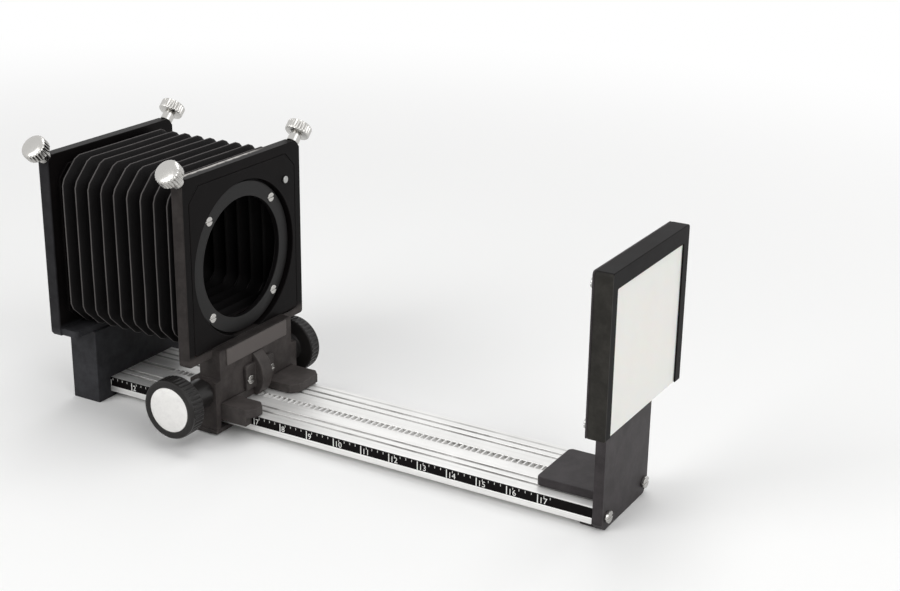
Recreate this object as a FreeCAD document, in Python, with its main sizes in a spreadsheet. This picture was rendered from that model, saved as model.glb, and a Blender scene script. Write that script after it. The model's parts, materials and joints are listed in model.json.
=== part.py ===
import FreeCAD, Part
import math
import os
import Sketcher
from dataclasses import dataclass

# A macro bellows unit: two square standards on a flat rail, a square pleated bellows between
# them, a rack and pinion drive under the front one and a slide copier on the rail's far end.
# Lengths along the rail start at the back of the rear standard and heights at the floor that the
# unit stands on. Every finished piece is then moved so that the origin is the centre of the rear
# bore in the outer face of its flange ring, with +X towards the slide copier and +Z up.

SIZES = [
    ("fit", 0.05, "clearance round screws, boards and shafts"),
    ("slide_gap", 0.25, "clearance between the carriage and the rail"),
    ("skin_gap", 0.2, "gap between the bellows and its front frame"),
    ("rail_length", 237.5, "rail from end to end"),
    ("rail_width", 40.0, "rail across"),
    ("rail_bottom", 2.7, "underside of the rail"),
    ("rail_top", 9.0, "top of the rail"),
    ("rail_groove_inner", 9.5, "inner pair of lengthwise grooves"),
    ("rail_groove_outer", 13.5, "outer pair of lengthwise grooves"),
    ("rail_groove_width", 1.4, "width of one groove"),
    ("rail_groove_depth", 0.7, "depth of one groove"),
    ("rail_relief_width", 16.0, "channel along the underside"),
    ("rail_relief_depth", 0.8, "depth of that channel"),
    ("strip_depth", 0.5, "thickness of the scale strip"),
    ("strip_height", 3.8, "height of the scale strip"),
    ("plate_side", 76.0, "side of each square standard"),
    ("plate_thick", 5.0, "thickness of each standard"),
    ("axis_rise", 35.3, "optical axis above the lower edge of the standards"),
    ("corner_cut", 3.0, "cut at the two upper corners of a standard"),
    ("plate_foot_round", 1.5, "rounding of the two lower corners"),
    ("board_side", 67.9, "side of the removable board"),
    ("board_thick", 4.2, "thickness of the board"),
    ("board_cut", 6.0, "cut at the board's upper corners"),
    ("window_side", 58.0, "opening behind the board"),
    ("rest_gap", 62.0, "space between the standards at rest"),
    ("bore_radius", 24.8, "free bore of a flange ring"),
    ("ring_radius", 31.0, "outside of a flange ring"),
    ("ring_thick", 1.4, "flange of the ring"),
    ("ring_bore_wall", 1.7, "wall of the ring's spigot"),
    ("ring_spigot", 0.9, "spigot behind the ring's flange"),
    ("ring_seat_depth", 3.2, "counterbore that takes the ring"),
    ("ring_side_gap", 1.0, "gap round the ring"),
    ("ring_screw_circle", 56.6, "pitch circle of the ring screws"),
    ("pin_across", 27.3, "board pin beside the axis"),
    ("pin_above", 26.0, "board pin above the axis"),
    ("pin_radius", 1.5, "radius of the board pin"),
    ("pin_height", 0.7, "board pin before its board"),
    ("small_head", 1.9, "head radius of the small screws"),
    ("small_head_height", 0.8, "head height of the small screws"),
    ("small_shank", 1.0, "shank radius of the small screws"),
    ("stout_head", 2.3, "head radius of the stout screws"),
    ("stout_head_height", 1.5, "head height of the stout screws"),
    ("stout_shank", 1.25, "shank radius of the stout screws"),
    ("head_sink", 0.2, "screw heads below their surface"),
    ("screw_land", 1.0, "metal beside a screw head"),
    ("leg_screw_grip", 3.5, "leg screws inside the rail"),
    ("saddle_screw_grip", 1.2, "saddle screws inside the carriage"),
    ("jaw_head", 1.4, "head radius of the jaw screws"),
    ("jaw_screw_length", 7.0, "jaw screws below their heads"),
    ("cover_screw_grip", 2.6, "cover screws inside the carriage"),
    ("end_screw_grip", 7.0, "bracket screws inside the rail"),
    ("frame_screw_grip", 3.5, "frame screws inside the slide frame"),
    ("slot_width", 0.6, "driver slot"),
    ("slot_depth", 0.4, "depth of the driver slot"),
    ("pleats", 9, "folds of the bellows"),
    ("ridge_side", 71.0, "bellows across its ridges"),
    ("ridge_cut", 9.0, "corner cut of a ridge"),
    ("valley_side", 58.6, "bellows across its valleys"),
    ("valley_cut", 3.0, "corner cut of a valley"),
    ("bellows_wall", 0.8, "thickness of the pleated cloth"),
    ("bellows_rise", 1.0, "bellows above the middle of the standards"),
    ("cuff_side", 66.0, "outside of a bellows frame"),
    ("cuff_thick", 1.2, "thickness of a bellows frame"),
    ("cuff_cut", 5.0, "corner cut of a bellows frame"),
    ("leg_length", 14.0, "rear leg along the rail"),
    ("side_wall", 3.2, "carriage wall beside the saddle"),
    ("leg_jaw", 7.0, "reach of the leg under the rail's edge"),
    ("shelf_length", 13.0, "ledge at the foot of the rear standard"),
    ("shelf_thick", 3.0, "thickness of that ledge"),
    ("shelf_width", 74.0, "ledge across"),
    ("leg_pocket_width", 36.0, "casting pocket in the back of the leg"),
    ("leg_pocket_low", 12.5, "floor of the pocket"),
    ("leg_pocket_roof", 3.7, "casting above the pocket"),
    ("leg_pocket_depth", 9.0, "depth of the pocket"),
    ("neck_back", 1.5, "neck behind the front plate"),
    ("neck_front", 4.0, "neck before the front plate"),
    ("neck_width", 48.0, "neck across"),
    ("neck_rise", 17.4, "top of the neck above the pinion shaft"),
    ("neck_lap", 3.5, "neck over the lower edge of the front plate"),
    ("block_back", 3.7, "carriage block behind the front plate"),
    ("block_cover", 5.0, "carriage block above the pinion shaft"),
    ("saddle_top", 13.0, "top of the saddle"),
    ("saddle_width", 48.6, "saddle across"),
    ("saddle_back", 14.0, "saddle behind the front plate"),
    ("horn_reach", 19.0, "horns before the front plate"),
    ("near_horn_inner", 14.0, "inner edge of the near horn from the middle"),
    ("far_horn_inner", 5.3, "inner edge of the far horn from the middle"),
    ("horn_cut", 3.0, "cut at the tip of a horn"),
    ("cheek_bottom", 5.7, "lower edge of the saddle's cheeks"),
    ("jaw_bottom", 0.6, "underside of the jaws below the rail"),
    ("jaw_reach", 4.75, "reach of a jaw under the rail"),
    ("shaft_setback", 2.5, "pinion shaft before the back of the front plate"),
    ("shaft_radius", 2.5, "pinion shaft"),
    ("tooth_module", 0.8, "module of rack and pinion"),
    ("pinion_teeth", 24, "teeth of the pinion"),
    ("pressure_angle", 20, "pressure angle of the teeth"),
    ("backlash", 0.2, "play between the teeth"),
    ("tip_drop", 0.0, "rack tips below the top of the rail"),
    ("pinion_face", 3.6, "face width of rack and pinion"),
    ("rack_body", 2.4, "rack below its roots"),
    ("rack_teeth", 72, "teeth of the rack"),
    ("rack_teeth_behind", 15, "rack teeth behind the pinion at rest"),
    ("well_gap", 0.5, "room round the pinion in its well"),
    ("well_side_gap", 0.5, "room beside the pinion in its well"),
    ("well_wall", 0.9, "wall of the gear cover"),
    ("cover_wing_thick", 1.5, "wings of the gear cover"),
    ("cover_wing_width", 18.8, "gear cover across its wings"),
    ("cover_wing_low", 13.3, "lower edge of the wings"),
    ("cover_wing_high", 24.0, "upper edge of the wings"),
    ("cover_screw_offset", 7.0, "cover screws from the middle"),
    ("label_width", 40.0, "bare label plate across"),
    ("label_gap", 0.35, "label plate off the gear cover and the neck's top edge"),
    ("label_thick", 0.5, "thickness of the label plate"),
    ("bush_radius", 4.0, "outside of a shaft bush"),
    ("bush_length", 8.0, "length of a bush"),
    ("bush_rim", 5.0, "radius of the bush's collar"),
    ("bush_rim_thick", 0.5, "thickness of the collar"),
    ("end_play", 0.1, "play between knob and bush"),
    ("shaft_hole_gap", 0.7, "clearance round the shaft between bushes"),
    ("knob_radius", 12.1, "both focus knobs"),
    ("knob_hub_radius", 6.0, "hub behind a knob"),
    ("near_hub_length", 12.9, "hub of the near knob"),
    ("near_rim_length", 7.5, "rim of the near knob"),
    ("far_hub_length", 2.9, "hub of the far knob"),
    ("far_rim_length", 6.0, "rim of the far knob"),
    ("knob_face_radius", 9.2, "disc in the knob's face"),
    ("knob_face_thick", 0.8, "thickness of that disc"),
    ("knob_front_wall", 2.0, "knob between shaft end and disc"),
    ("knob_ribs", 40, "grooves round a knob"),
    ("knurl_depth", 0.45, "depth of the grooves"),
    ("knurl_half_width", 0.55, "half the width of a groove"),
    ("edge_break", 0.6, "bevel at the knobs' edges"),
    ("grub_radius", 0.9, "grub screws in the knobs"),
    ("thumb_shank", 1.5, "shank radius of a thumbscrew"),
    ("thumb_collar", 2.6, "collar radius of a thumbscrew"),
    ("thumb_collar_length", 4.2, "collar under the head"),
    ("thumb_head", 5.3, "head radius of a thumbscrew"),
    ("thumb_head_length", 5.0, "length of the head"),
    ("thumb_ribs", 24, "grooves round a thumbscrew"),
    ("thumb_seat_gap", 0.1, "thumbscrew collar off its seat"),
    ("thumb_point", 0.3, "bevel at the thumbscrew's tip"),
    ("thumb_tip_gap", 0.1, "thumbscrew tip off the board"),
    ("cut_lead", 1.0, "cutters run past the metal"),
    ("foot_length", 25.5, "foot of the copier bracket along the rail"),
    ("foot_width", 28.0, "foot of the copier bracket across"),
    ("foot_thick", 3.5, "thickness of the foot"),
    ("foot_round", 2.0, "rounded corners of the foot"),
    ("bracket_thick", 4.0, "upright of the copier bracket"),
    ("mask_reach", 2.5, "face of the mask plate past the rail's end"),
    ("mask_thick", 0.9, "mask plate above the upright"),
    ("bracket_cut", 3.0, "cut at the upright's lower corners"),
    ("lug_length", 6.0, "lugs under the end of the rail"),
    ("lug_width", 8.0, "width of a lug"),
    ("copier_width", 66.0, "slide frame across"),
    ("copier_drop", 25.0, "lower edge of the slide frame below the axis"),
    ("copier_rise", 35.3, "upper edge of the slide frame above the axis"),
    ("copier_side_wall", 4.8, "side walls of the slide frame"),
    ("copier_top_wall", 6.5, "top wall of the slide frame"),
    ("copier_round", 1.5, "rounded corners of the slide frame"),
    ("slide_space", 4.3, "room for a slide"),
    ("opal_thick", 1.6, "opal diffuser"),
    ("opal_groove", 0.8, "depth of the diffuser's groove"),
    ("front_lip", 0.6, "lip before the diffuser"),
    ("sill_length", 7.0, "short sill at each lower corner"),
    ("sill_height", 2.2, "height of a sill"),
    ("picture_width", 36.0, "mask window across"),
    ("picture_height", 24.0, "mask window upright"),
    ("spring_half_length", 14.0, "half the length of a slide spring"),
    ("spring_bow", 1.1, "bow of a slide spring"),
    ("spring_thick", 0.35, "thickness of a slide spring"),
    ("spring_width", 3.0, "width of a slide spring"),
    ("bush_hole_radius", 3.175, "tripod thread, a quarter of an inch across"),
    ("tripod_stem_radius", 5.5, "stem of the tripod bush"),
    ("tripod_flange_radius", 7.5, "flange of the tripod bush"),
    ("tripod_foot_gap", 0.5, "tripod bush above the floor"),
    ("tripod_place", 150.0, "tripod bush along the rail"),
]

YZ, XZ, XY = "YZ_Plane", "XZ_Plane", "XY_Plane"
OPERATIONS = {
    "+": lambda left, right: left + right,
    "-": lambda left, right: left - right,
    "*": lambda left, right: left * right,
    "/": lambda left, right: left / right,
}


class Size:
    """A length, angle or count, held as a sheet formula together with its present value."""

    def __init__(self, formula, value):
        self.formula = formula
        self.value = value

    def __add__(self, other):
        return combine(self, "+", other)

    def __radd__(self, other):
        return combine(other, "+", self)

    def __sub__(self, other):
        return combine(self, "-", other)

    def __rsub__(self, other):
        return combine(other, "-", self)

    def __mul__(self, other):
        return combine(self, "*", other)

    def __rmul__(self, other):
        return combine(other, "*", self)

    def __truediv__(self, other):
        return combine(self, "/", other)

    def __neg__(self):
        return combine(-1, "*", self)


def as_size(amount):
    """Give a plain number the form of a size."""
    if isinstance(amount, Size):
        return amount
    return Size(f"({amount})" if amount < 0 else str(amount), amount)


def combine(left, sign, right):
    """Join two sizes into one formula."""
    left, right = as_size(left), as_size(right)
    value = OPERATIONS[sign](left.value, right.value)
    return Size(f"({left.formula} {sign} {right.formula})", value)


def root(size):
    """Square root of a size."""
    return Size(f"sqrt({size.formula})", math.sqrt(size.value))


def tangent(angle):
    """Tangent of an angle in degrees."""
    angle = as_size(angle)
    return Size(f"tan({angle.formula} * 1 deg)", math.tan(math.radians(angle.value)))


doc = FreeCAD.newDocument("macro_bellows_unit")
sheet = doc.addObject("Spreadsheet::Sheet", "sizes")
for row, (alias, amount, meaning) in enumerate(SIZES, start=1):
    sheet.set(f"A{row}", alias)
    sheet.set(f"B{row}", str(amount))
    sheet.set(f"C{row}", meaning)
    sheet.setAlias(f"B{row}", alias)
doc.recompute()


class Sheet:
    """The driving dimensions by name, read from the spreadsheet."""

    def __getattr__(self, alias):
        return Size(f"sizes.{alias}", float(getattr(sheet, alias)))


SZ = Sheet()
PARTS = {}


def bind(thing, property_name, size):
    """Tie a property of a document object to the sheet."""
    thing.setExpression(property_name, as_size(size).formula)


@dataclass
class Corner:
    """A corner of an outline. radius rounds it; turn_about makes the edge that leaves it an arc."""

    across: object
    up: object
    radius: object = None
    turn_about: tuple = None


def step_towards(start, end):
    """Unit step along the axis that joins two corners of an upright edge."""
    shift_across = as_size(end.across).value - as_size(start.across).value
    shift_up = as_size(end.up).value - as_size(start.up).value
    if abs(shift_across) > abs(shift_up):
        return math.copysign(1, shift_across), 0
    return 0, math.copysign(1, shift_up)


def trace(corners):
    """Turn corners into the start points of an outline's edges, with the centre of each arc."""
    path = []
    for index, corner in enumerate(corners):
        if corner.radius is None:
            path.append((as_size(corner.across), as_size(corner.up), corner.turn_about))
            continue
        back = step_towards(corner, corners[index - 1])
        ahead = step_towards(corner, corners[(index + 1) % len(corners)])
        centre = (
            corner.across + corner.radius * (back[0] + ahead[0]),
            corner.up + corner.radius * (back[1] + ahead[1]),
        )
        for step, turn in ((back, centre), (ahead, None)):
            across = corner.across + corner.radius * step[0]
            up = corner.up + corner.radius * step[1]
            path.append((as_size(across), as_size(up), turn))
    return path


def arc_between(start, end, centre):
    """An arc with its first and last vertex numbers in the order of travel."""
    reach_start, reach_end = start - centre, end - centre
    turns_left = reach_start.cross(reach_end).z > 0
    if not turns_left:
        reach_start, reach_end = reach_end, reach_start
    circle = Part.Circle(centre, FreeCAD.Vector(0, 0, 1), reach_start.Length)
    begin = math.atan2(reach_start.y, reach_start.x)
    finish = math.atan2(reach_end.y, reach_end.x)
    if finish < begin:
        finish += 2 * math.pi
    return Part.ArcOfCircle(circle, begin, finish), (1, 2) if turns_left else (2, 1)


def pin_point(sketch, edge, vertex, across=None, up=None):
    """Fix a vertex to the sketch's origin by sizes of the sheet."""
    for kind, size in (("DistanceX", across), ("DistanceY", up)):
        if size is None:
            continue
        size = as_size(size)
        rule = sketch.addConstraint(Sketcher.Constraint(kind, -1, 1, edge, vertex, size.value))
        sketch.setExpression(f"Constraints[{rule}]", size.formula)


def add_outline(sketch, corners):
    """Draw a closed outline whose every corner is tied to the sheet."""
    path = trace(corners)
    points = [FreeCAD.Vector(across.value, up.value, 0) for across, up, turn in path]
    edges = []
    for index, (across, up, turn) in enumerate(path):
        start, end = points[index], points[(index + 1) % len(points)]
        if turn is None:
            edges.append((sketch.addGeometry(Part.LineSegment(start, end), False), 1, 2))
            continue
        centre = FreeCAD.Vector(as_size(turn[0]).value, as_size(turn[1]).value, 0)
        arc, ends = arc_between(start, end, centre)
        edges.append((sketch.addGeometry(arc, False), *ends))
    for index, (edge, first, last) in enumerate(edges):
        following, following_first, _ = edges[(index + 1) % len(edges)]
        sketch.addConstraint(
            Sketcher.Constraint("Coincident", edge, last, following, following_first)
        )
    for index, (edge, first, last) in enumerate(edges):
        across, up, turn = path[index]
        pin_point(sketch, edge, first, across, up)
        if turn is None:
            continue
        chord = points[(index + 1) % len(points)] - points[index]
        if abs(chord.y) > abs(chord.x):
            pin_point(sketch, edge, 3, across=turn[0])
        else:
            pin_point(sketch, edge, 3, up=turn[1])


def add_circle(sketch, across, up, radius):
    """Draw a circle whose place and radius are tied to the sheet."""
    across, up, radius = as_size(across), as_size(up), as_size(radius)
    centre = FreeCAD.Vector(across.value, up.value, 0)
    circle = Part.Circle(centre, FreeCAD.Vector(0, 0, 1), radius.value)
    edge = sketch.addGeometry(circle, False)
    pin_point(sketch, edge, 3, across, up)
    rule = sketch.addConstraint(Sketcher.Constraint("Radius", edge, radius.value))
    sketch.setExpression(f"Constraints[{rule}]", radius.formula)


def box_corners(left, right, bottom, top, radius=None):
    """Corners of an upright rectangle."""
    return [
        Corner(left, bottom, radius),
        Corner(right, bottom, radius),
        Corner(right, top, radius),
        Corner(left, top, radius),
    ]


def cut_square(side, cut, middle=0):
    """Corners of a square about a middle height, each corner cut off straight."""
    half = as_size(side) / 2
    inner = half - cut
    turns = [(-inner, -half), (inner, -half), (half, -inner), (half, inner)]
    turns += [(inner, half), (-inner, half), (-half, inner), (-half, -inner)]
    return [Corner(across, up + middle) for across, up in turns]


def new_body(name):
    """Start a body that becomes one node."""
    body = doc.addObject("PartDesign::Body", name)
    body.Label = name
    body.AllowCompound = True
    return body


def new_sketch(body, name, plane, offset):
    """Attach a sketch to one of the body's own origin planes."""
    sketch = body.newObject("Sketcher::SketchObject", name)
    support = next(item for item in body.Origin.OriginFeatures if item.Role == plane)
    sketch.AttachmentSupport = (support, [""])
    sketch.MapMode = "FlatFace"
    bind(sketch, "AttachmentOffset.Base.z", offset)
    return sketch


def extrude(body, name, plane, low, high, outlines=(), circles=(), cut=False):
    """Pad or pocket outlines from low to high along the axis across the plane.

    The XZ plane faces -Y, so its offsets run the other way.
    """
    low, high = as_size(low), as_size(high)
    start = high if cut else low
    if plane == XZ:
        start = -low if cut else -high
    sketch = new_sketch(body, f"{body.Name}_{name}_sketch", plane, start)
    for corners in outlines:
        add_outline(sketch, corners)
    for across, up, radius in circles:
        add_circle(sketch, across, up, radius)
    kind = "PartDesign::Pocket" if cut else "PartDesign::Pad"
    feature = body.newObject(kind, f"{body.Name}_{name}")
    feature.Profile = sketch
    bind(feature, "Length", high - low)
    return feature


def revolve(body, name, plane, corners):
    """Turn an outline about the sketch's upright axis."""
    sketch = new_sketch(body, f"{body.Name}_{name}_sketch", plane, 0)
    add_outline(sketch, corners)
    feature = body.newObject("PartDesign::Revolution", f"{body.Name}_{name}")
    feature.Profile = sketch
    feature.ReferenceAxis = (sketch, ["V_Axis"])
    feature.Angle = 360
    return feature


def repeat_round(body, feature, axis_role, count):
    """Repeat a feature round one of the body's axes."""
    doc.recompute()
    pattern = body.newObject("PartDesign::PolarPattern", f"{feature.Name}_round")
    pattern.Originals = [feature]
    axis = next(item for item in body.Origin.OriginFeatures if item.Role == axis_role)
    pattern.Axis = (axis, [""])
    pattern.Angle = 360
    bind(pattern, "Occurrences", count)
    body.Tip = pattern
    return pattern


def repeat_along(body, features, axis_role, span, count):
    """Repeat features along one of the body's axes."""
    doc.recompute()
    pattern = body.newObject("PartDesign::LinearPattern", f"{features[0].Name}_row")
    pattern.Originals = features
    axis = next(item for item in body.Origin.OriginFeatures if item.Role == axis_role)
    pattern.Direction = (axis, [""])
    bind(pattern, "Length", span)
    bind(pattern, "Occurrences", count)
    body.Tip = pattern
    return pattern


def settle(thing, along=0, across=0, height=None):
    """Place a finished piece in the unit's frame and list it as a node.

    Pieces drawn in place keep the defaults; a piece drawn about its own seat or axis says where
    that lies.
    """
    height = 0 if height is None else height
    bind(thing, "Placement.Base.x", along - origin_along)
    bind(thing, "Placement.Base.y", across)
    bind(thing, "Placement.Base.z", height - axis_height)
    PARTS[thing.Label] = thing


def face_about(thing):
    """Turn a piece drawn facing +X or +Y to face the other way."""
    thing.Placement = FreeCAD.Placement(
        FreeCAD.Vector(), FreeCAD.Rotation(FreeCAD.Vector(0, 0, 1), 180)
    )


@dataclass
class Screw:
    """A slotted screw: head outside its seat, shank inside."""

    head: object
    head_height: object
    shank: object
    length: object


def screw_group(name, plane, centres, seat, outward, screw):
    """Identical screws in one node. outward is +1 when the heads lie on the axis's high side."""
    body = new_body(name)
    head_end = seat + screw.head_height * outward
    tip = seat - screw.length * outward
    floor = head_end - SZ.slot_depth * outward
    low_high = (lambda first, last: (first, last) if outward > 0 else (last, first))
    heads = [(across, up, screw.head) for across, up in centres]
    shanks = [(across, up, screw.shank) for across, up in centres]
    half = SZ.slot_width / 2
    slots = [
        box_corners(across - screw.head, across + screw.head, up - half, up + half)
        for across, up in centres
    ]
    extrude(body, "heads", plane, *low_high(seat, head_end), circles=heads)
    extrude(body, "shanks", plane, *low_high(tip, seat), circles=shanks)
    extrude(body, "slots", plane, *low_high(floor, head_end), outlines=slots, cut=True)
    settle(body)
    return body


SMALL = Screw(SZ.small_head, SZ.small_head_height, SZ.small_shank, 0)
STOUT = Screw(SZ.stout_head, SZ.stout_head_height, SZ.stout_shank, 0)


def sized(screw, length):
    """The same screw with a shank of another length."""
    return Screw(screw.head, screw.head_height, screw.shank, length)


# Places that several pieces share.
front_back = SZ.plate_thick + SZ.rest_gap
front_face = front_back + SZ.plate_thick
rail_half = SZ.rail_width / 2
saddle_half = SZ.saddle_width / 2
saddle_room = saddle_half + SZ.fit
leg_half = saddle_half + SZ.side_wall
channel_half = rail_half + SZ.slide_gap
channel_top = SZ.rail_top + SZ.slide_gap
jaw_top = SZ.rail_bottom - SZ.slide_gap
pitch_radius = SZ.tooth_module * SZ.pinion_teeth / 2
tip_radius = pitch_radius + SZ.tooth_module
pitch_line = SZ.rail_top - SZ.tip_drop - SZ.tooth_module
shaft_height = pitch_line + pitch_radius
shaft_along = front_back + SZ.shaft_setback
# Both standards, the axis and the slide frame stack up from the shaft.
block_top = shaft_height + SZ.block_cover
neck_top = shaft_height + SZ.neck_rise
plate_bottom = neck_top - SZ.neck_lap
plate_top = plate_bottom + SZ.plate_side
plate_middle = plate_bottom + SZ.plate_side / 2
axis_height = plate_bottom + SZ.axis_rise
copier_bottom = axis_height - SZ.copier_drop
copier_top = axis_height + SZ.copier_rise
well_radius = tip_radius + SZ.well_gap
well_half = SZ.pinion_face / 2 + SZ.well_side_gap
cover_radius = well_radius + SZ.well_wall
cover_half = well_half + SZ.well_wall
block_back = front_back - SZ.block_back
block_front = front_face + SZ.neck_front
neck_back = front_back - SZ.neck_back
nose_start = block_front - shaft_along
nose_top = shaft_height + root(cover_radius * cover_radius - nose_start * nose_start)
rack_bottom = pitch_line - SZ.tooth_module * 1.25 - SZ.rack_body
bush_face = leg_half + SZ.bush_rim_thick
knob_start = bush_face + SZ.end_play
rail_end = SZ.rail_length
bracket_face = rail_end + SZ.bracket_thick
copier_half = SZ.copier_width / 2
mask_face = rail_end + SZ.mask_reach
mask_back = mask_face - SZ.mask_thick
slide_front = mask_face + SZ.slide_space
opal_front = slide_front + SZ.opal_thick + 4 * SZ.fit
frame_front = opal_front + SZ.front_lip
bellows_middle = plate_middle + SZ.bellows_rise
bellows_start = SZ.plate_thick + SZ.cuff_thick
bellows_end = front_back - SZ.cuff_thick - SZ.skin_gap
pleat = (bellows_end - bellows_start) / SZ.pleats
well_circle = (shaft_along, shaft_height, well_radius)
tooth_pitch = SZ.tooth_module * math.pi
near_grub = SZ.near_hub_length / 2
far_grub = SZ.far_hub_length / 2
origin_along = SZ.ring_seat_depth - SZ.ring_thick
# From the cut corner of a standard to the cut corner of its board, along the diagonal.
corner_gap = (SZ.plate_side - SZ.corner_cut - SZ.board_side + SZ.board_cut) / 2
thumb_reach = corner_gap * math.sqrt(2)

# Seats of the screw heads, and how far the screws go into the piece that they hold.
head_sink = SZ.head_sink
leg_screw_seat = SZ.stout_head_height + head_sink
leg_screw_length = SZ.rail_bottom - leg_screw_seat + SZ.leg_screw_grip
saddle_screw_seat = channel_top + SZ.stout_head_height + head_sink / 2
jaw_screw_seat = SZ.jaw_bottom + SZ.small_head_height
jaw_hole = SZ.small_shank + SZ.fit
ring_sink = SZ.small_head_height - head_sink

# The ring's four screws lie on its diagonals.
ring_screw_reach = SZ.ring_screw_circle / 2 / math.sqrt(2)
ring_screw_centres = [
    (ring_screw_reach * across, ring_screw_reach * up) for across in (-1, 1) for up in (-1, 1)
]
leg_screw_centres = [(SZ.leg_length / 2, side * (rail_half - SZ.leg_jaw / 2)) for side in (-1, 1)]
end_screw_centres = [
    (side * (rail_half - SZ.lug_width / 2), (SZ.rail_bottom + SZ.rail_top) / 2 - SZ.strip_depth)
    for side in (-1, 1)
]
frame_screw_centres = [
    (side * (copier_half - SZ.copier_side_wall / 2), height)
    for side in (-1, 1)
    for height in (copier_bottom + SZ.copier_side_wall, copier_top - SZ.copier_side_wall)
]
screw_inset = SZ.stout_head + SZ.screw_land
saddle_screw_alongs = (block_back + screw_inset, block_front - screw_inset)
saddle_screw_centres = [
    (along, side * SZ.neck_width / 3) for along in saddle_screw_alongs for side in (-1, 1)
]
jaw_wall_middle = (saddle_half + leg_half) / 2
cover_screw_centres = [(side * SZ.cover_screw_offset, shaft_height) for side in (-1, 1)]


def holes(centres, radius):
    """Circles of one radius at several centres."""
    return [(across, up, radius) for across, up in centres]


def build_rail():
    """Flat extruded rail with a rack groove, grooves in its top and a recess for the scale."""
    body = new_body("rail")
    groove_half = SZ.pinion_face / 2
    relief_half = SZ.rail_relief_width / 2
    relief_top = SZ.rail_bottom + SZ.rail_relief_depth
    strip_side = -rail_half + SZ.strip_depth
    strip_low = SZ.rail_top - SZ.strip_height
    section = [
        Corner(-rail_half, SZ.rail_bottom),
        Corner(-relief_half, SZ.rail_bottom),
        Corner(-relief_half, relief_top),
        Corner(relief_half, relief_top),
        Corner(relief_half, SZ.rail_bottom),
        Corner(rail_half, SZ.rail_bottom),
        Corner(rail_half, SZ.rail_top),
        Corner(groove_half, SZ.rail_top),
        Corner(groove_half, rack_bottom),
        Corner(-groove_half, rack_bottom),
        Corner(-groove_half, SZ.rail_top),
        Corner(strip_side, SZ.rail_top),
        Corner(strip_side, strip_low),
        Corner(-rail_half, strip_low),
    ]
    extrude(body, "section", YZ, 0, rail_end, outlines=[section])
    half = SZ.rail_groove_width / 2
    places = [
        side * offset for side in (-1, 1) for offset in (SZ.rail_groove_inner, SZ.rail_groove_outer)
    ]
    floor = SZ.rail_top - SZ.rail_groove_depth
    grooves = [box_corners(y - half, y + half, floor, SZ.rail_top + SZ.cut_lead) for y in places]
    extrude(body, "grooves", YZ, 0, rail_end, outlines=grooves, cut=True)
    leg_holes = holes(leg_screw_centres, SZ.stout_shank + SZ.fit)
    leg_hole_top = SZ.rail_bottom + SZ.leg_screw_grip + SZ.fit
    extrude(body, "leg_holes", XY, 0, leg_hole_top, circles=leg_holes, cut=True)
    end_holes = holes(end_screw_centres, SZ.stout_shank + SZ.fit)
    deep = rail_end - SZ.end_screw_grip - SZ.fit
    extrude(body, "end_holes", YZ, deep, rail_end, circles=end_holes, cut=True)
    bush_hole = [(SZ.tripod_place, 0, SZ.tripod_stem_radius + SZ.fit)]
    extrude(body, "bush_hole", XY, 0, rack_bottom, circles=bush_hole, cut=True)
    settle(body)


def build_rack():
    """Straight rack in the rail's middle groove, one tooth centred under the pinion."""
    body = new_body("rail_rack")
    half_face = SZ.pinion_face / 2
    root_line = pitch_line - SZ.tooth_module * 1.25
    tip_line = pitch_line + SZ.tooth_module
    first = shaft_along - SZ.rack_teeth_behind * tooth_pitch
    start = first - tooth_pitch / 2
    bar = box_corners(start, start + SZ.rack_teeth * tooth_pitch, rack_bottom, root_line)
    extrude(body, "bar", XZ, -half_face, half_face, outlines=[bar])
    slope = tangent(SZ.pressure_angle)
    half_pitch = tooth_pitch / 4 - SZ.backlash / 4
    half_root = half_pitch + (pitch_line - root_line) * slope
    half_tip = half_pitch - SZ.tooth_module * slope
    tooth = [
        Corner(first - half_root, root_line),
        Corner(first + half_root, root_line),
        Corner(first + half_tip, tip_line),
        Corner(first - half_tip, tip_line),
    ]
    pad = extrude(body, "tooth", XZ, -half_face, half_face, outlines=[tooth])
    span = (SZ.rack_teeth - 1) * tooth_pitch
    repeat_along(body, [pad], "X_Axis", span, SZ.rack_teeth)
    settle(body)


def build_scale_strip():
    """Thin strip let into the near side of the rail; its marks are a surface finish."""
    body = new_body("scale_strip")
    strip = box_corners(
        -rail_half, -rail_half + SZ.strip_depth, SZ.rail_top - SZ.strip_height, SZ.rail_top
    )
    extrude(body, "strip", YZ, 0, rail_end, outlines=[strip])
    settle(body)


def build_tripod_bush():
    """Flanged steel bush with the tripod thread, pressed into the underside of the rail."""
    body = new_body("tripod_bush")
    seat = SZ.rail_bottom + SZ.rail_relief_depth
    stem_top = rack_bottom - SZ.fit
    profile = [
        Corner(SZ.bush_hole_radius, SZ.tripod_foot_gap),
        Corner(SZ.tripod_flange_radius - SZ.edge_break, SZ.tripod_foot_gap),
        Corner(SZ.tripod_flange_radius, SZ.tripod_foot_gap + SZ.edge_break),
        Corner(SZ.tripod_flange_radius, seat),
        Corner(SZ.tripod_stem_radius, seat),
        Corner(SZ.tripod_stem_radius, stem_top),
        Corner(SZ.bush_hole_radius, stem_top),
    ]
    revolve(body, "turned", XZ, profile)
    settle(body, along=SZ.tripod_place)


def plate_outline():
    """Outline of a standard: square, rounded below and cut at the upper corners."""
    half = SZ.plate_side / 2
    return [
        Corner(-half, plate_bottom, SZ.plate_foot_round),
        Corner(half, plate_bottom, SZ.plate_foot_round),
        Corner(half, plate_top - SZ.corner_cut),
        Corner(half - SZ.corner_cut, plate_top),
        Corner(SZ.corner_cut - half, plate_top),
        Corner(-half, plate_top - SZ.corner_cut),
    ]


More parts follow.
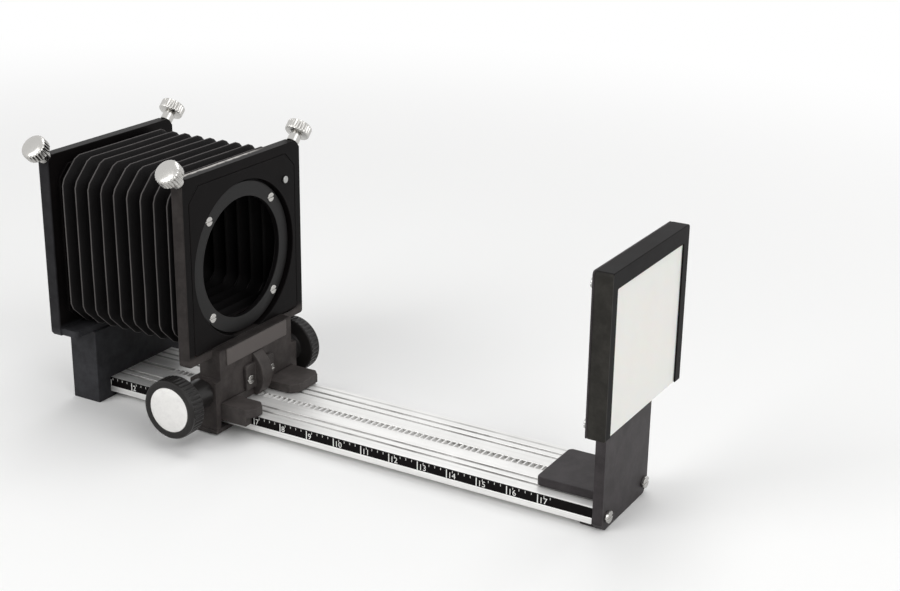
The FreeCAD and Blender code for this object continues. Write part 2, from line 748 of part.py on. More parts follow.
def board_outline(gap):
    """Outline of a removable board, or with a gap the recess that takes it."""
    half = SZ.board_side / 2 + gap
    top = plate_middle + half
    bottom = plate_middle - half
    return [
        Corner(-half, bottom),
        Corner(half, bottom),
        Corner(half, top - SZ.board_cut),
        Corner(half - SZ.board_cut, top),
        Corner(SZ.board_cut - half, top),
        Corner(-half, top - SZ.board_cut),
    ]


def frame_plate(body, back, face, outward):
    """Square frame of a standard: plate, recess for the board and the window behind it."""
    extrude(body, "plate", YZ, back, face, outlines=[plate_outline()])
    outer = face if outward > 0 else back
    floor = outer - SZ.board_thick * outward
    recess = (floor, outer) if outward > 0 else (outer, floor)
    extrude(body, "recess", YZ, *recess, outlines=[board_outline(SZ.fit)], cut=True)
    window = cut_square(SZ.window_side, SZ.valley_cut, plate_middle)
    extrude(body, "window", YZ, back, face, outlines=[window], cut=True)


def drill_thumb_holes(casting, name, middle):
    """Diagonal holes for the two thumbscrews at the upper corners of a standard."""
    seat_across = (SZ.plate_side - SZ.corner_cut) / 2
    seat_height = plate_top - SZ.corner_cut / 2
    drills = []
    for side in (-1, 1):
        drill = doc.addObject("Part::Cylinder", f"{name}_drill_{'far' if side > 0 else 'near'}")
        bind(drill, "Radius", SZ.thumb_shank + SZ.fit)
        bind(drill, "Height", thumb_reach + 2 * SZ.cut_lead)
        tilt = FreeCAD.Rotation(FreeCAD.Vector(1, 0, 0), -side * 45 + 180)
        drill.Placement = FreeCAD.Placement(FreeCAD.Vector(), tilt)
        bind(drill, "Placement.Base.x", middle)
        bind(drill, "Placement.Base.y", side * (seat_across + SZ.cut_lead))
        bind(drill, "Placement.Base.z", seat_height + SZ.cut_lead)
        drills.append(drill)
    both = doc.addObject("Part::MultiFuse", f"{name}_drills")
    both.Shapes = drills
    drilled = doc.addObject("Part::Cut", name)
    drilled.Label = name
    drilled.Base = casting
    drilled.Tool = both
    settle(drilled)


def build_rear_standard():
    """Rear casting: square frame, ledge under the bellows and a leg that grips the rail."""
    body = new_body("rear_casting")
    frame_plate(body, as_size(0), SZ.plate_thick, -1)
    inner = rail_half - SZ.leg_jaw
    leg = [
        Corner(-leg_half, 0),
        Corner(-inner, 0),
        Corner(-inner, SZ.rail_bottom),
        Corner(-rail_half, SZ.rail_bottom),
        Corner(-rail_half, SZ.rail_top),
        Corner(rail_half, SZ.rail_top),
        Corner(rail_half, SZ.rail_bottom),
        Corner(inner, SZ.rail_bottom),
        Corner(inner, 0),
        Corner(leg_half, 0),
        Corner(leg_half, plate_bottom),
        Corner(-leg_half, plate_bottom),
    ]
    extrude(body, "leg", YZ, 0, SZ.leg_length, outlines=[leg])
    shelf_half = SZ.shelf_width / 2
    shelf = [
        Corner(0, -shelf_half),
        Corner(SZ.shelf_length, -shelf_half, SZ.plate_foot_round),
        Corner(SZ.shelf_length, shelf_half, SZ.plate_foot_round),
        Corner(0, shelf_half),
    ]
    shelf_top = plate_bottom + SZ.shelf_thick
    extrude(body, "shelf", XY, plate_bottom, shelf_top, outlines=[shelf])
    pocket_half = SZ.leg_pocket_width / 2
    pocket_top = plate_bottom - SZ.leg_pocket_roof
    pocket = box_corners(
        -pocket_half, pocket_half, SZ.leg_pocket_low, pocket_top, SZ.plate_foot_round
    )
    extrude(body, "pocket", YZ, 0, SZ.leg_pocket_depth, outlines=[pocket], cut=True)
    shanks = holes(leg_screw_centres, SZ.stout_shank + SZ.fit)
    extrude(body, "screw_holes", XY, 0, SZ.rail_bottom, circles=shanks, cut=True)
    heads = holes(leg_screw_centres, SZ.stout_head + SZ.fit)
    extrude(body, "screw_seats", XY, 0, leg_screw_seat, circles=heads, cut=True)
    drill_thumb_holes(body, "rear_standard", SZ.plate_thick / 2)
    screw_group(
        "rear_leg_screws", XY, leg_screw_centres, leg_screw_seat, -1, sized(STOUT, leg_screw_length)
    )


def arc_piece(radius, low, edge, side):
    """Slice of a round drum about the shaft, from a low level up, on one side of an upright edge."""
    low_reach = root(radius * radius - (shaft_height - low) * (shaft_height - low))
    edge_reach = root(radius * radius - (edge - shaft_along) * (edge - shaft_along))
    centre = (shaft_along, shaft_height)
    middle = Corner(shaft_along + side * radius, shaft_height, turn_about=centre)
    low_end = Corner(shaft_along + side * low_reach, low, turn_about=centre)
    return [
        Corner(edge, low),
        low_end,
        middle,
        Corner(edge, shaft_height + edge_reach),
    ]


def build_front_standard():
    """Front casting: square frame, neck and carriage block with the well for the pinion."""
    body = new_body("front_casting")
    frame_plate(body, front_back, front_face, 1)
    block = [
        Corner(-leg_half, jaw_top),
        Corner(-saddle_room, jaw_top),
        Corner(-saddle_room, SZ.saddle_top),
        Corner(saddle_room, SZ.saddle_top),
        Corner(saddle_room, jaw_top),
        Corner(leg_half, jaw_top),
        Corner(leg_half, block_top),
        Corner(-leg_half, block_top),
    ]
    extrude(body, "block", YZ, block_back, block_front, outlines=[block])
    neck_half = SZ.neck_width / 2
    neck = [
        Corner(-neck_half, SZ.saddle_top),
        Corner(neck_half, SZ.saddle_top),
        Corner(neck_half, neck_top, SZ.plate_foot_round),
        Corner(-neck_half, neck_top, SZ.plate_foot_round),
    ]
    extrude(body, "neck", YZ, neck_back, block_front, outlines=[neck])
    drum = arc_piece(cover_radius, SZ.saddle_top, neck_back, -1)
    extrude(body, "drum", XZ, -cover_half, cover_half, outlines=[drum])
    extrude(body, "well", XZ, -well_half, well_half, circles=[well_circle], cut=True)
    shaft_hole = [(shaft_along, shaft_height, SZ.shaft_radius + SZ.shaft_hole_gap)]
    extrude(body, "shaft_hole", XZ, -leg_half, leg_half, circles=shaft_hole, cut=True)
    bush_hole = [(shaft_along, shaft_height, SZ.bush_radius + SZ.fit)]
    bush_inner = leg_half - SZ.bush_length - SZ.fit
    extrude(body, "far_bush_hole", XZ, bush_inner, leg_half, circles=bush_hole, cut=True)
    extrude(body, "near_bush_hole", XZ, -leg_half, -bush_inner, circles=bush_hole, cut=True)
    saddle_holes = holes(saddle_screw_centres, SZ.stout_shank + SZ.fit)
    saddle_tip = SZ.saddle_top + SZ.saddle_screw_grip + SZ.fit
    extrude(body, "saddle_holes", XY, SZ.saddle_top, saddle_tip, circles=saddle_holes, cut=True)
    jaw_holes = [hole for side in (-1, 1) for hole in holes(jaw_screw_centres(side), jaw_hole)]
    jaw_tip = jaw_screw_seat + SZ.jaw_screw_length + SZ.fit
    extrude(body, "jaw_holes", XY, jaw_top, jaw_tip, circles=jaw_holes, cut=True)
    cover_holes = holes(cover_screw_centres, SZ.small_shank + SZ.fit)
    cover_tip = block_front - SZ.cover_screw_grip - SZ.fit
    extrude(body, "cover_holes", YZ, cover_tip, block_front, circles=cover_holes, cut=True)
    drill_thumb_holes(body, "front_standard", front_back + SZ.plate_thick / 2)


def jaw_screw_centres(side):
    """Two screws in one jaw."""
    return [(along, side * jaw_wall_middle) for along in saddle_screw_alongs]


def build_saddle():
    """Shoe on the rail: top plate with two forward horns and cheeks that hang over the edges."""
    body = new_body("saddle")
    half = saddle_half
    back = front_back - SZ.saddle_back
    tip = front_face + SZ.horn_reach
    cut = SZ.horn_cut
    plan = [
        Corner(back, -half, SZ.plate_foot_round),
        Corner(tip - cut, -half),
        Corner(tip, cut - half),
        Corner(tip, -SZ.near_horn_inner - cut),
        Corner(tip - cut, -SZ.near_horn_inner),
        Corner(block_front, -SZ.near_horn_inner),
        Corner(block_front, SZ.far_horn_inner),
        Corner(tip - cut, SZ.far_horn_inner),
        Corner(tip, SZ.far_horn_inner + cut),
        Corner(tip, half - cut),
        Corner(tip - cut, half),
        Corner(back, half, SZ.plate_foot_round),
    ]
    extrude(body, "plate", XY, channel_top, SZ.saddle_top, outlines=[plan])
    cheeks = [
        box_corners(back, tip - cut, *((channel_half, half) if side > 0 else (-half, -channel_half)))
        for side in (-1, 1)
    ]
    extrude(body, "cheeks", XY, SZ.cheek_bottom, channel_top, outlines=cheeks)
    extrude(body, "well", XZ, -well_half, well_half, circles=[well_circle], cut=True)
    shanks = holes(saddle_screw_centres, SZ.stout_shank + SZ.fit)
    extrude(body, "screw_holes", XY, channel_top, SZ.saddle_top, circles=shanks, cut=True)
    heads = holes(saddle_screw_centres, SZ.stout_head + SZ.fit)
    extrude(body, "screw_seats", XY, channel_top, saddle_screw_seat, circles=heads, cut=True)
    settle(body)
    grip = sized(STOUT, SZ.saddle_top - saddle_screw_seat + SZ.saddle_screw_grip)
    screw_group("saddle_screws", XY, saddle_screw_centres, saddle_screw_seat, -1, grip)


def build_jaws():
    """Two strips below the carriage that reach under the rail's edges, and their screws."""
    centres = []
    for side, name in ((-1, "rail_jaw_near"), (1, "rail_jaw_far")):
        body = new_body(name)
        inner = rail_half - SZ.jaw_reach
        spans = (inner, leg_half) if side > 0 else (-leg_half, -inner)
        strip = box_corners(block_back, block_front, *spans, SZ.edge_break)
        extrude(body, "strip", XY, SZ.jaw_bottom, jaw_top, outlines=[strip])
        places = jaw_screw_centres(side)
        extrude(body, "holes", XY, 0, jaw_top, circles=holes(places, jaw_hole), cut=True)
        seats = holes(places, SZ.jaw_head + SZ.fit)
        extrude(body, "seats", XY, 0, jaw_screw_seat, circles=seats, cut=True)
        settle(body)
        centres += places
    narrow = Screw(
        SZ.jaw_head, SZ.small_head_height - head_sink / 2, SZ.small_shank, SZ.jaw_screw_length
    )
    screw_group("jaw_screws", XY, centres, jaw_screw_seat, -1, narrow)


def build_gear_cover():
    """Round nose over the front of the pinion, with a wing and a screw on each side."""
    body = new_body("gear_cover")
    bottom = channel_top + SZ.slide_gap
    nose = arc_piece(cover_radius, bottom, block_front, 1)
    extrude(body, "nose", XZ, -cover_half, cover_half, outlines=[nose])
    wing_half = SZ.cover_wing_width / 2
    wing_front = block_front + SZ.cover_wing_thick
    wing = box_corners(
        -wing_half, wing_half, SZ.cover_wing_low, SZ.cover_wing_high, SZ.plate_foot_round
    )
    extrude(body, "wings", YZ, block_front, wing_front, outlines=[wing])
    extrude(body, "well", XZ, -well_half, well_half, circles=[well_circle], cut=True)
    shanks = holes(cover_screw_centres, SZ.small_shank + SZ.fit)
    extrude(body, "screw_holes", YZ, block_front, wing_front, circles=shanks, cut=True)
    settle(body)
    grip = sized(SMALL, SZ.cover_wing_thick + SZ.cover_screw_grip)
    screw_group("gear_cover_screws", YZ, cover_screw_centres, wing_front, 1, grip)


def build_label_plate():
    """Bare plate on the front of the neck."""
    body = new_body("label_plate")
    half = SZ.label_width / 2
    low = nose_top + SZ.label_gap
    plate = box_corners(-half, half, low, neck_top - SZ.label_gap, SZ.edge_break)
    front = block_front + SZ.label_thick
    extrude(body, "plate", YZ, block_front, front, outlines=[plate])
    settle(body)


def build_bushes():
    """Collared bushes that carry the pinion shaft in both sides of the carriage."""
    body = new_body("shaft_bushes")
    bore = (shaft_along, shaft_height, SZ.shaft_radius + SZ.fit)
    sleeve = [(shaft_along, shaft_height, SZ.bush_radius), bore]
    collar = [(shaft_along, shaft_height, SZ.bush_rim), bore]
    inner = leg_half - SZ.bush_length
    extrude(body, "far_sleeve", XZ, inner, leg_half, circles=sleeve)
    extrude(body, "far_collar", XZ, leg_half, bush_face, circles=collar)
    extrude(body, "near_sleeve", XZ, -leg_half, -inner, circles=sleeve)
    extrude(body, "near_collar", XZ, -bush_face, -leg_half, circles=collar)
    settle(body)


def build_shaft():
    """Plain shaft from the blind bore of one knob to the blind bore of the other."""
    body = new_body("pinion_shaft")
    near = knob_start + knob_bore_depth(SZ.near_hub_length, SZ.near_rim_length) - SZ.fit
    far = knob_start + knob_bore_depth(SZ.far_hub_length, SZ.far_rim_length) - SZ.fit
    circle = [(shaft_along, shaft_height, SZ.shaft_radius)]
    extrude(body, "bar", XZ, -near, far, circles=circle)
    settle(body)


def knob_bore_depth(hub, rim):
    """Depth of the blind bore in a knob."""
    return hub + rim - SZ.knob_face_thick - SZ.knob_front_wall


def involute(base, reach, lean):
    """Point of an involute at a radius, turned by a lean angle."""
    roll = math.sqrt(max((reach / base) ** 2 - 1, 0))
    angle = roll - math.atan(roll) + lean
    return FreeCAD.Vector(reach * math.sin(angle), 0, reach * math.cos(angle))


def build_pinion():
    """Involute spur pinion with a tooth gap facing straight down, in mesh with the rack."""
    module, teeth = SZ.tooth_module.value, int(SZ.pinion_teeth.value)
    pitch = module * teeth / 2
    tip, foot = pitch + module, pitch - 1.25 * module
    press = math.radians(SZ.pressure_angle.value)
    base = pitch * math.cos(press)
    half_tooth = math.pi / 2 / teeth - SZ.backlash.value / 4 / pitch
    lean = -half_tooth - (math.tan(press) - press)
    low = max(base, foot)
    reaches = [low + (tip - low) * step / 3 for step in range(4)]
    rising = [involute(base, reach, lean) for reach in reaches]
    start = FreeCAD.Vector(foot * math.sin(lean), 0, foot * math.cos(lean))
    rising.insert(0, start)
    turn = 2 * math.pi / teeth
    outline = []
    for tooth in range(teeth):
        spin = FreeCAD.Rotation(FreeCAD.Vector(0, 1, 0), math.degrees(turn * (tooth + shift(teeth))))
        outline += [spin.multVec(point) for point in rising]
        falling = [FreeCAD.Vector(-point.x, 0, point.z) for point in reversed(rising)]
        outline += [spin.multVec(point) for point in falling]
    wire = Part.makePolygon(outline + [outline[0]])
    half_face = SZ.pinion_face.value / 2
    blank = Part.Face(wire).extrude(FreeCAD.Vector(0, 2 * half_face, 0))
    blank.translate(FreeCAD.Vector(0, -half_face, 0))
    axis = FreeCAD.Vector(0, 1, 0)
    bore = Part.makeCylinder(
        SZ.shaft_radius.value + SZ.fit.value / 2,
        2 * half_face,
        FreeCAD.Vector(0, -half_face, 0),
        axis,
    )
    gear = doc.addObject("Part::Feature", "pinion_gear")
    gear.Label = "pinion_gear"
    gear.Shape = blank.cut(bore)
    settle(gear, along=shaft_along, height=shaft_height)


def shift(teeth):
    """Part of a tooth pitch that brings a gap, not a tooth, to the lowest point."""
    return 0.5 if teeth % 2 == 0 else 0.0


def build_knob(name, hub, rim, side, grub_place):
    """Knurled knob on a hub, drawn facing +Y from its seat on the bush."""
    body = new_body(name)
    end = hub + rim
    seat = end - SZ.knob_face_thick
    bore = SZ.shaft_radius + SZ.fit / 2
    bevel = SZ.edge_break
    depth = knob_bore_depth(hub, rim)
    profile = [
        Corner(0, depth),
        Corner(bore, depth),
        Corner(bore, 0),
        Corner(SZ.knob_hub_radius, 0),
        Corner(SZ.knob_hub_radius, hub),
        Corner(SZ.knob_radius - bevel, hub),
        Corner(SZ.knob_radius, hub + bevel),
        Corner(SZ.knob_radius, end - bevel),
        Corner(SZ.knob_radius - bevel, end),
        Corner(SZ.knob_face_radius, end),
        Corner(SZ.knob_face_radius, seat),
        Corner(0, seat),
    ]
    revolve(body, "turned", XY, profile)
    grub = [(0, grub_place, SZ.grub_radius + SZ.fit)]
    hub_skin = SZ.knob_hub_radius + SZ.cut_lead
    extrude(body, "grub_hole", XY, SZ.shaft_radius, hub_skin, circles=grub, cut=True)
    outside = SZ.knob_radius + SZ.cut_lead
    groove = [
        Corner(outside, -SZ.knurl_half_width),
        Corner(outside, SZ.knurl_half_width),
        Corner(SZ.knob_radius - SZ.knurl_depth, 0),
    ]
    cut = extrude(body, "groove", XZ, hub, end - 2 * bevel, outlines=[groove], cut=True)
    repeat_round(body, cut, "Y_Axis", SZ.knob_ribs)
    disc = new_body(name.replace("focus_", "").replace("knob", "knob_face"))
    circle = [(0, 0, SZ.knob_face_radius - SZ.fit)]
    extrude(disc, "disc", XZ, seat, end, circles=circle)
    for piece in (body, disc):
        if side < 0:
            face_about(piece)
        settle(piece, along=shaft_along, across=side * knob_start, height=shaft_height)


def build_grub_screws():
    """One grub screw in each knob's hub."""
    body = new_body("knob_grub_screws")
    places = [(shaft_along, -(knob_start + near_grub)), (shaft_along, knob_start + far_grub)]
    low = shaft_height + SZ.shaft_radius + SZ.fit
    high = shaft_height + SZ.knob_hub_radius - SZ.fit
    extrude(body, "grubs", XY, low, high, circles=holes(places, SZ.grub_radius))
    settle(body)


def build_board(name, along, outward):
    """Removable board with a seat for the flange ring, drawn with its face towards +X."""
    body = new_body(name)
    extrude(body, "board", YZ, -SZ.board_thick, 0, outlines=[board_outline(0)])
    seat = [(0, axis_height, SZ.ring_radius + SZ.ring_side_gap)]
    extrude(body, "seat", YZ, -SZ.ring_seat_depth, 0, circles=seat, cut=True)
    bore = [(0, axis_height, SZ.bore_radius + SZ.ring_bore_wall + SZ.fit)]
    extrude(body, "bore", YZ, -SZ.board_thick, 0, circles=bore, cut=True)
    taps = [
        (across, up + axis_height, SZ.small_shank + SZ.fit) for across, up in ring_screw_centres
    ]
    extrude(body, "taps", YZ, -SZ.board_thick, 0, circles=taps, cut=True)
    if outward < 0:
        face_about(body)
    settle(body, along=along)


def build_flange_ring(prefix, along, outward):
    """Flange ring with a spigot and its four screws, drawn about the axis facing +X."""
    ring = new_body(f"{prefix}_flange_ring")
    seat = -SZ.ring_seat_depth
    face = seat + SZ.ring_thick
    back = seat - SZ.ring_spigot
    bore = SZ.bore_radius
    outer = bore + SZ.ring_bore_wall
    extrude(ring, "flange", YZ, seat, face, circles=[(0, 0, SZ.ring_radius), (0, 0, bore)])
    extrude(ring, "spigot", YZ, back, seat, circles=[(0, 0, outer), (0, 0, bore)])
    taps = holes(ring_screw_centres, SZ.small_shank + SZ.fit)
    extrude(ring, "taps", YZ, seat, face, circles=taps, cut=True)
    sinks = holes(ring_screw_centres, SZ.small_head + SZ.fit)
    sink = face - ring_sink
    extrude(ring, "sinks", YZ, sink, face, circles=sinks, cut=True)
    grip = sized(SMALL, SZ.ring_thick - ring_sink + SZ.board_thick - SZ.ring_seat_depth)
    screws = screw_group(f"{prefix}_ring_screws", YZ, ring_screw_centres, sink, 1, grip)
    for piece in (ring, screws):
        if outward < 0:
            face_about(piece)
        settle(piece, along=along, height=axis_height)


def build_board_pin():
    """Small pin in the upper far corner of the front board's face."""
    body = new_body("lens_board_pin")
    pin = [(SZ.pin_across, axis_height + SZ.pin_above, SZ.pin_radius)]
    extrude(body, "pin", YZ, front_face, front_face + SZ.pin_height, circles=pin)
    settle(body)


def build_bellows():
    """Pleated square tube with cut corners: one fold lofted, then repeated along the axis."""
    body = new_body("bellows")
    wall = SZ.bellows_wall
    folds = [
        (bellows_start, SZ.valley_side, SZ.valley_cut),
        (bellows_start + pleat / 2, SZ.ridge_side, SZ.ridge_cut),
        (bellows_start + pleat, SZ.valley_side, SZ.valley_cut),
    ]
    lofts = []
    for kind, name, inset in (
        ("PartDesign::AdditiveLoft", "outside", 0),
        ("PartDesign::SubtractiveLoft", "inside", wall),
    ):
        sketches = []
        for number, (along, side, cut) in enumerate(folds):
            sketch = new_sketch(body, f"bellows_{name}_{number}", YZ, along)
            add_outline(sketch, cut_square(side - 2 * inset, cut, bellows_middle))
            sketches.append(sketch)
        loft = body.newObject(kind, f"bellows_{name}")
        loft.Profile = sketches[0]
        loft.Sections = sketches[1:]
        loft.Ruled = True
        lofts.append(loft)
    repeat_along(body, lofts, "X_Axis", pleat * (SZ.pleats - 1), SZ.pleats)
    settle(body)


def build_cuff(name, low, high):
    """Flat frame that holds one end of the bellows to a standard."""
    body = new_body(name)
    outer = cut_square(SZ.cuff_side, SZ.cuff_cut, bellows_middle - SZ.bellows_rise)
    inner_side = SZ.valley_side - 2 * SZ.bellows_wall
    inner = cut_square(inner_side, SZ.valley_cut, bellows_middle)
    extrude(body, "frame", YZ, low, high, outlines=[outer, inner])
    settle(body)


def build_thumbscrew(name, middle, side):
    """Knurled screw in an upper corner of a standard, drawn along +Z from its seat."""
    body = new_body(name)
    gap = SZ.thumb_seat_gap
    tip = SZ.thumb_tip_gap - thumb_reach
    collar_end = gap + SZ.thumb_collar_length
    end = collar_end + SZ.thumb_head_length
    bevel = SZ.edge_break
    profile = [
        Corner(0, tip),
        Corner(SZ.thumb_shank - SZ.thumb_point, tip),
        Corner(SZ.thumb_shank, tip + SZ.thumb_point),
        Corner(SZ.thumb_shank, gap),
        Corner(SZ.thumb_collar, gap),
        Corner(SZ.thumb_collar, collar_end),
        Corner(SZ.thumb_head - bevel, collar_end),
        Corner(SZ.thumb_head, collar_end + bevel),
        Corner(SZ.thumb_head, end - bevel),
        Corner(SZ.thumb_head - bevel, end),
        Corner(0, end),
    ]
    revolve(body, "turned", XZ, profile)
    outside = SZ.thumb_head + SZ.cut_lead
    groove = [
        Corner(outside, -SZ.knurl_half_width),
        Corner(outside, SZ.knurl_half_width),
        Corner(SZ.thumb_head - SZ.knurl_depth, 0),
    ]
    cut = extrude(body, "groove", XY, collar_end, end, outlines=[groove], cut=True)
    repeat_round(body, cut, "Z_Axis", SZ.thumb_ribs)
    tilt = FreeCAD.Rotation(FreeCAD.Vector(1, 0, 0), -side * 45)
    body.Placement = FreeCAD.Placement(FreeCAD.Vector(), tilt)
    across = side * (SZ.plate_side - SZ.corner_cut) / 2
    settle(body, along=middle, across=across, height=plate_top - SZ.corner_cut / 2)


def build_copier_bracket():
    """Bent bracket: foot on the rail, upright over the rail's end and mask plate with a window."""
    body = new_body("copier_bracket")
    width = copier_half
    cut = SZ.bracket_cut
    upright = [
        Corner(cut - rail_half, 0),
        Corner(rail_half - cut, 0),
        Corner(rail_half, cut),
        Corner(rail_half, copier_bottom),
        Corner(-rail_half, copier_bottom),
        Corner(-rail_half, cut),
    ]
    extrude(body, "upright", YZ, rail_end, bracket_face, outlines=[upright])
    mask = [
        Corner(-width, copier_bottom),
        Corner(width, copier_bottom),
        Corner(width, copier_top, SZ.copier_round),
        Corner(-width, copier_top, SZ.copier_round),
    ]
    extrude(body, "mask", YZ, mask_back, mask_face, outlines=[mask])
    half = SZ.foot_width / 2
    foot = [
        Corner(rail_end - SZ.foot_length, -half, SZ.foot_round),
        Corner(rail_end, -half),
        Corner(rail_end, half),
        Corner(rail_end - SZ.foot_length, half, SZ.foot_round),
    ]
    foot_top = SZ.rail_top + SZ.foot_thick
    extrude(body, "foot", XY, SZ.rail_top, foot_top, outlines=[foot])
    lug_start = rail_end - SZ.lug_length
    inner = rail_half - SZ.lug_width
    outer = rail_half - cut
    lugs = [
        box_corners(lug_start, rail_end, inner, outer),
        box_corners(lug_start, rail_end, -outer, -inner),
    ]
    extrude(body, "lugs", XY, 0, SZ.rail_bottom, outlines=lugs)
    across, up = SZ.picture_width / 2, SZ.picture_height / 2
    window = box_corners(-across, across, axis_height - up, axis_height + up)
    extrude(body, "window", YZ, mask_back, mask_face, outlines=[window], cut=True)
    taps = holes(end_screw_centres, SZ.stout_shank + SZ.fit)
    taps += holes(frame_screw_centres, SZ.small_shank + SZ.fit)
    extrude(body, "taps", YZ, rail_end, bracket_face, circles=taps, cut=True)
    settle(body)
    end_screw = sized(STOUT, SZ.bracket_thick + SZ.end_screw_grip)
    screw_group("rail_end_screws", YZ, end_screw_centres, bracket_face, 1, end_screw)


def build_slide_frame():
    """Deep frame open below, with a groove for the diffuser and a sill at each lower corner."""
    body = new_body("slide_frame")
    inner = copier_half - SZ.copier_side_wall
    roof = copier_top - SZ.copier_top_wall
    walls = [
        Corner(-copier_half, copier_bottom),
        Corner(-inner, copier_bottom),
        Corner(-inner, roof),
        Corner(inner, roof),
        Corner(inner, copier_bottom),
        Corner(copier_half, copier_bottom),
        Corner(copier_half, copier_top, SZ.copier_round),
        Corner(-copier_half, copier_top, SZ.copier_round),
    ]
    extrude(body, "walls", YZ, mask_face, frame_front, outlines=[walls])
    sill_top = copier_bottom + SZ.sill_height
    sills = [
        box_corners(inner - SZ.sill_length, inner, copier_bottom, sill_top),
        box_corners(-inner, SZ.sill_length - inner, copier_bottom, sill_top),
    ]
    extrude(body, "sills", YZ, mask_face, slide_front, outlines=sills)
    groove = box_corners(
        -inner - SZ.opal_groove, inner + SZ.opal_groove, copier_bottom, roof + SZ.opal_groove
    )
    extrude(body, "groove", YZ, slide_front, opal_front, outlines=[groove], cut=True)
    taps = holes(frame_screw_centres, SZ.small_shank + SZ.fit)
    tap_end = mask_face + SZ.frame_screw_grip + SZ.fit
    extrude(body, "taps", YZ, mask_face, tap_end, circles=taps, cut=True)
    settle(body)
    grip = sized(SMALL, SZ.mask_thick + SZ.frame_screw_grip)
    screw_group("slide_frame_screws", YZ, frame_screw_centres, mask_back, -1, grip)


def build_opal():
    """Opal sheet pushed up its grooves from below."""
    body = new_body("opal_diffuser")
    half = copier_half - SZ.copier_side_wall + SZ.opal_groove - 2 * SZ.fit
    top = copier_top - SZ.copier_top_wall + SZ.opal_groove - 2 * SZ.fit
    sheet_outline = box_corners(-half, half, copier_bottom + SZ.fit, top)
    low = slide_front + 2 * SZ.fit
    extrude(body, "sheet", YZ, low, low + SZ.opal_thick, outlines=[sheet_outline])
    settle(body)


def build_slide_springs():
    """Two bowed leaf springs on the side walls, which grip the edges of a slide."""
    body = new_body("slide_springs")
    half, bow, thick = SZ.spring_half_length, SZ.spring_bow, SZ.spring_thick
    outer_reach = (half * half + bow * bow) / (2 * bow)
    middle = axis_height
    strips = []
    for side in (-1, 1):
        wall = side * (copier_half - SZ.copier_side_wall - SZ.fit)
        centre = (wall + side * (outer_reach - bow - thick), middle)
        outer_centre = (wall + side * (outer_reach - bow), middle)
        ends = (middle - half, middle + half)
        if side > 0:
            ends = (ends[1], ends[0])
        strips.append(
            [
                Corner(wall, ends[0], turn_about=outer_centre),
                Corner(wall, ends[1]),
                Corner(wall - side * thick, ends[1], turn_about=centre),
                Corner(wall - side * thick, ends[0]),
            ]
        )
    low = mask_face + (SZ.slide_space - SZ.spring_width) / 2
    extrude(body, "leaves", YZ, low, low + SZ.spring_width, outlines=strips)
    settle(body)


def build_everything():
    """Build each sub-part in turn."""
    build_rail()
    build_rack()
    build_scale_strip()
    build_tripod_bush()
    build_rear_standard()
    build_front_standard()
    build_saddle()
    build_jaws()
    build_gear_cover()
    build_label_plate()
    build_bushes()
    build_shaft()
    build_pinion()
    build_knob("focus_knob_near", SZ.near_hub_length, SZ.near_rim_length, -1, near_grub)
    build_knob("focus_knob_far", SZ.far_hub_length, SZ.far_rim_length, 1, far_grub)
    build_grub_screws()
    build_board("camera_board", 0, -1)
    build_board("lens_board", front_face, 1)
    build_flange_ring("camera", 0, -1)
    build_flange_ring("lens", front_face, 1)
    build_board_pin()
    build_bellows()
    build_cuff("bellows_rear_frame", SZ.plate_thick, bellows_start)
    build_cuff("bellows_front_frame", front_back - SZ.cuff_thick, front_back)
    for place, middle in (
        ("rear", SZ.plate_thick / 2),
        ("front", front_back + SZ.plate_thick / 2),
    ):
        build_thumbscrew(f"{place}_thumbscrew_near", middle, -1)
        build_thumbscrew(f"{place}_thumbscrew_far", middle, 1)
    build_copier_bracket()
    build_slide_frame()
    build_opal()
    build_slide_springs()


def check_everything():
    """Stop if a feature failed, cut nothing or left a bad shape."""
    faults = []
    for thing in doc.Objects:
        if {"Invalid", "Error"} & set(thing.State):
            faults.append(f"{thing.Name}: {thing.State}")
        if thing.TypeId == "PartDesign::Pocket" and thing.BaseFeature is not None:
            if thing.Shape.Volume > thing.BaseFeature.Shape.Volume - 1e-4:
                faults.append(f"{thing.Name}: cuts nothing")
        if thing.TypeId == "Part::Cut" and thing.Shape.Volume > thing.Base.Shape.Volume - 1e-4:
            faults.append(f"{thing.Name}: cuts nothing")
    for name, thing in PARTS.items():
        if thing.Shape.isNull() or not thing.Shape.isValid() or not thing.Shape.Solids:
            faults.append(f"{name}: bad shape")
    if faults:
        raise RuntimeError("; ".join(faults))


def write_everything():
    """Write each node's STEP file."""
    os.makedirs("parts", exist_ok=True)
    for name, thing in PARTS.items():
        thing.Shape.exportStep(f"parts/{name}.step")
        print(name, len(thing.Shape.Solids), "solid(s)", round(thing.Shape.Volume, 1), "mm3")


build_everything()
doc.recompute()
check_everything()
write_everything()
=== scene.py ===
"""Finish and fine shapes of a macro bellows unit with a slide copier, in metres."""

import json
import logging
import math
from dataclasses import dataclass
from enum import Enum
from typing import Any, Mapping, Optional, Sequence, Union

import bmesh
import bpy
from mathutils import Matrix, Vector, noise
from mathutils.bvhtree import BVHTree


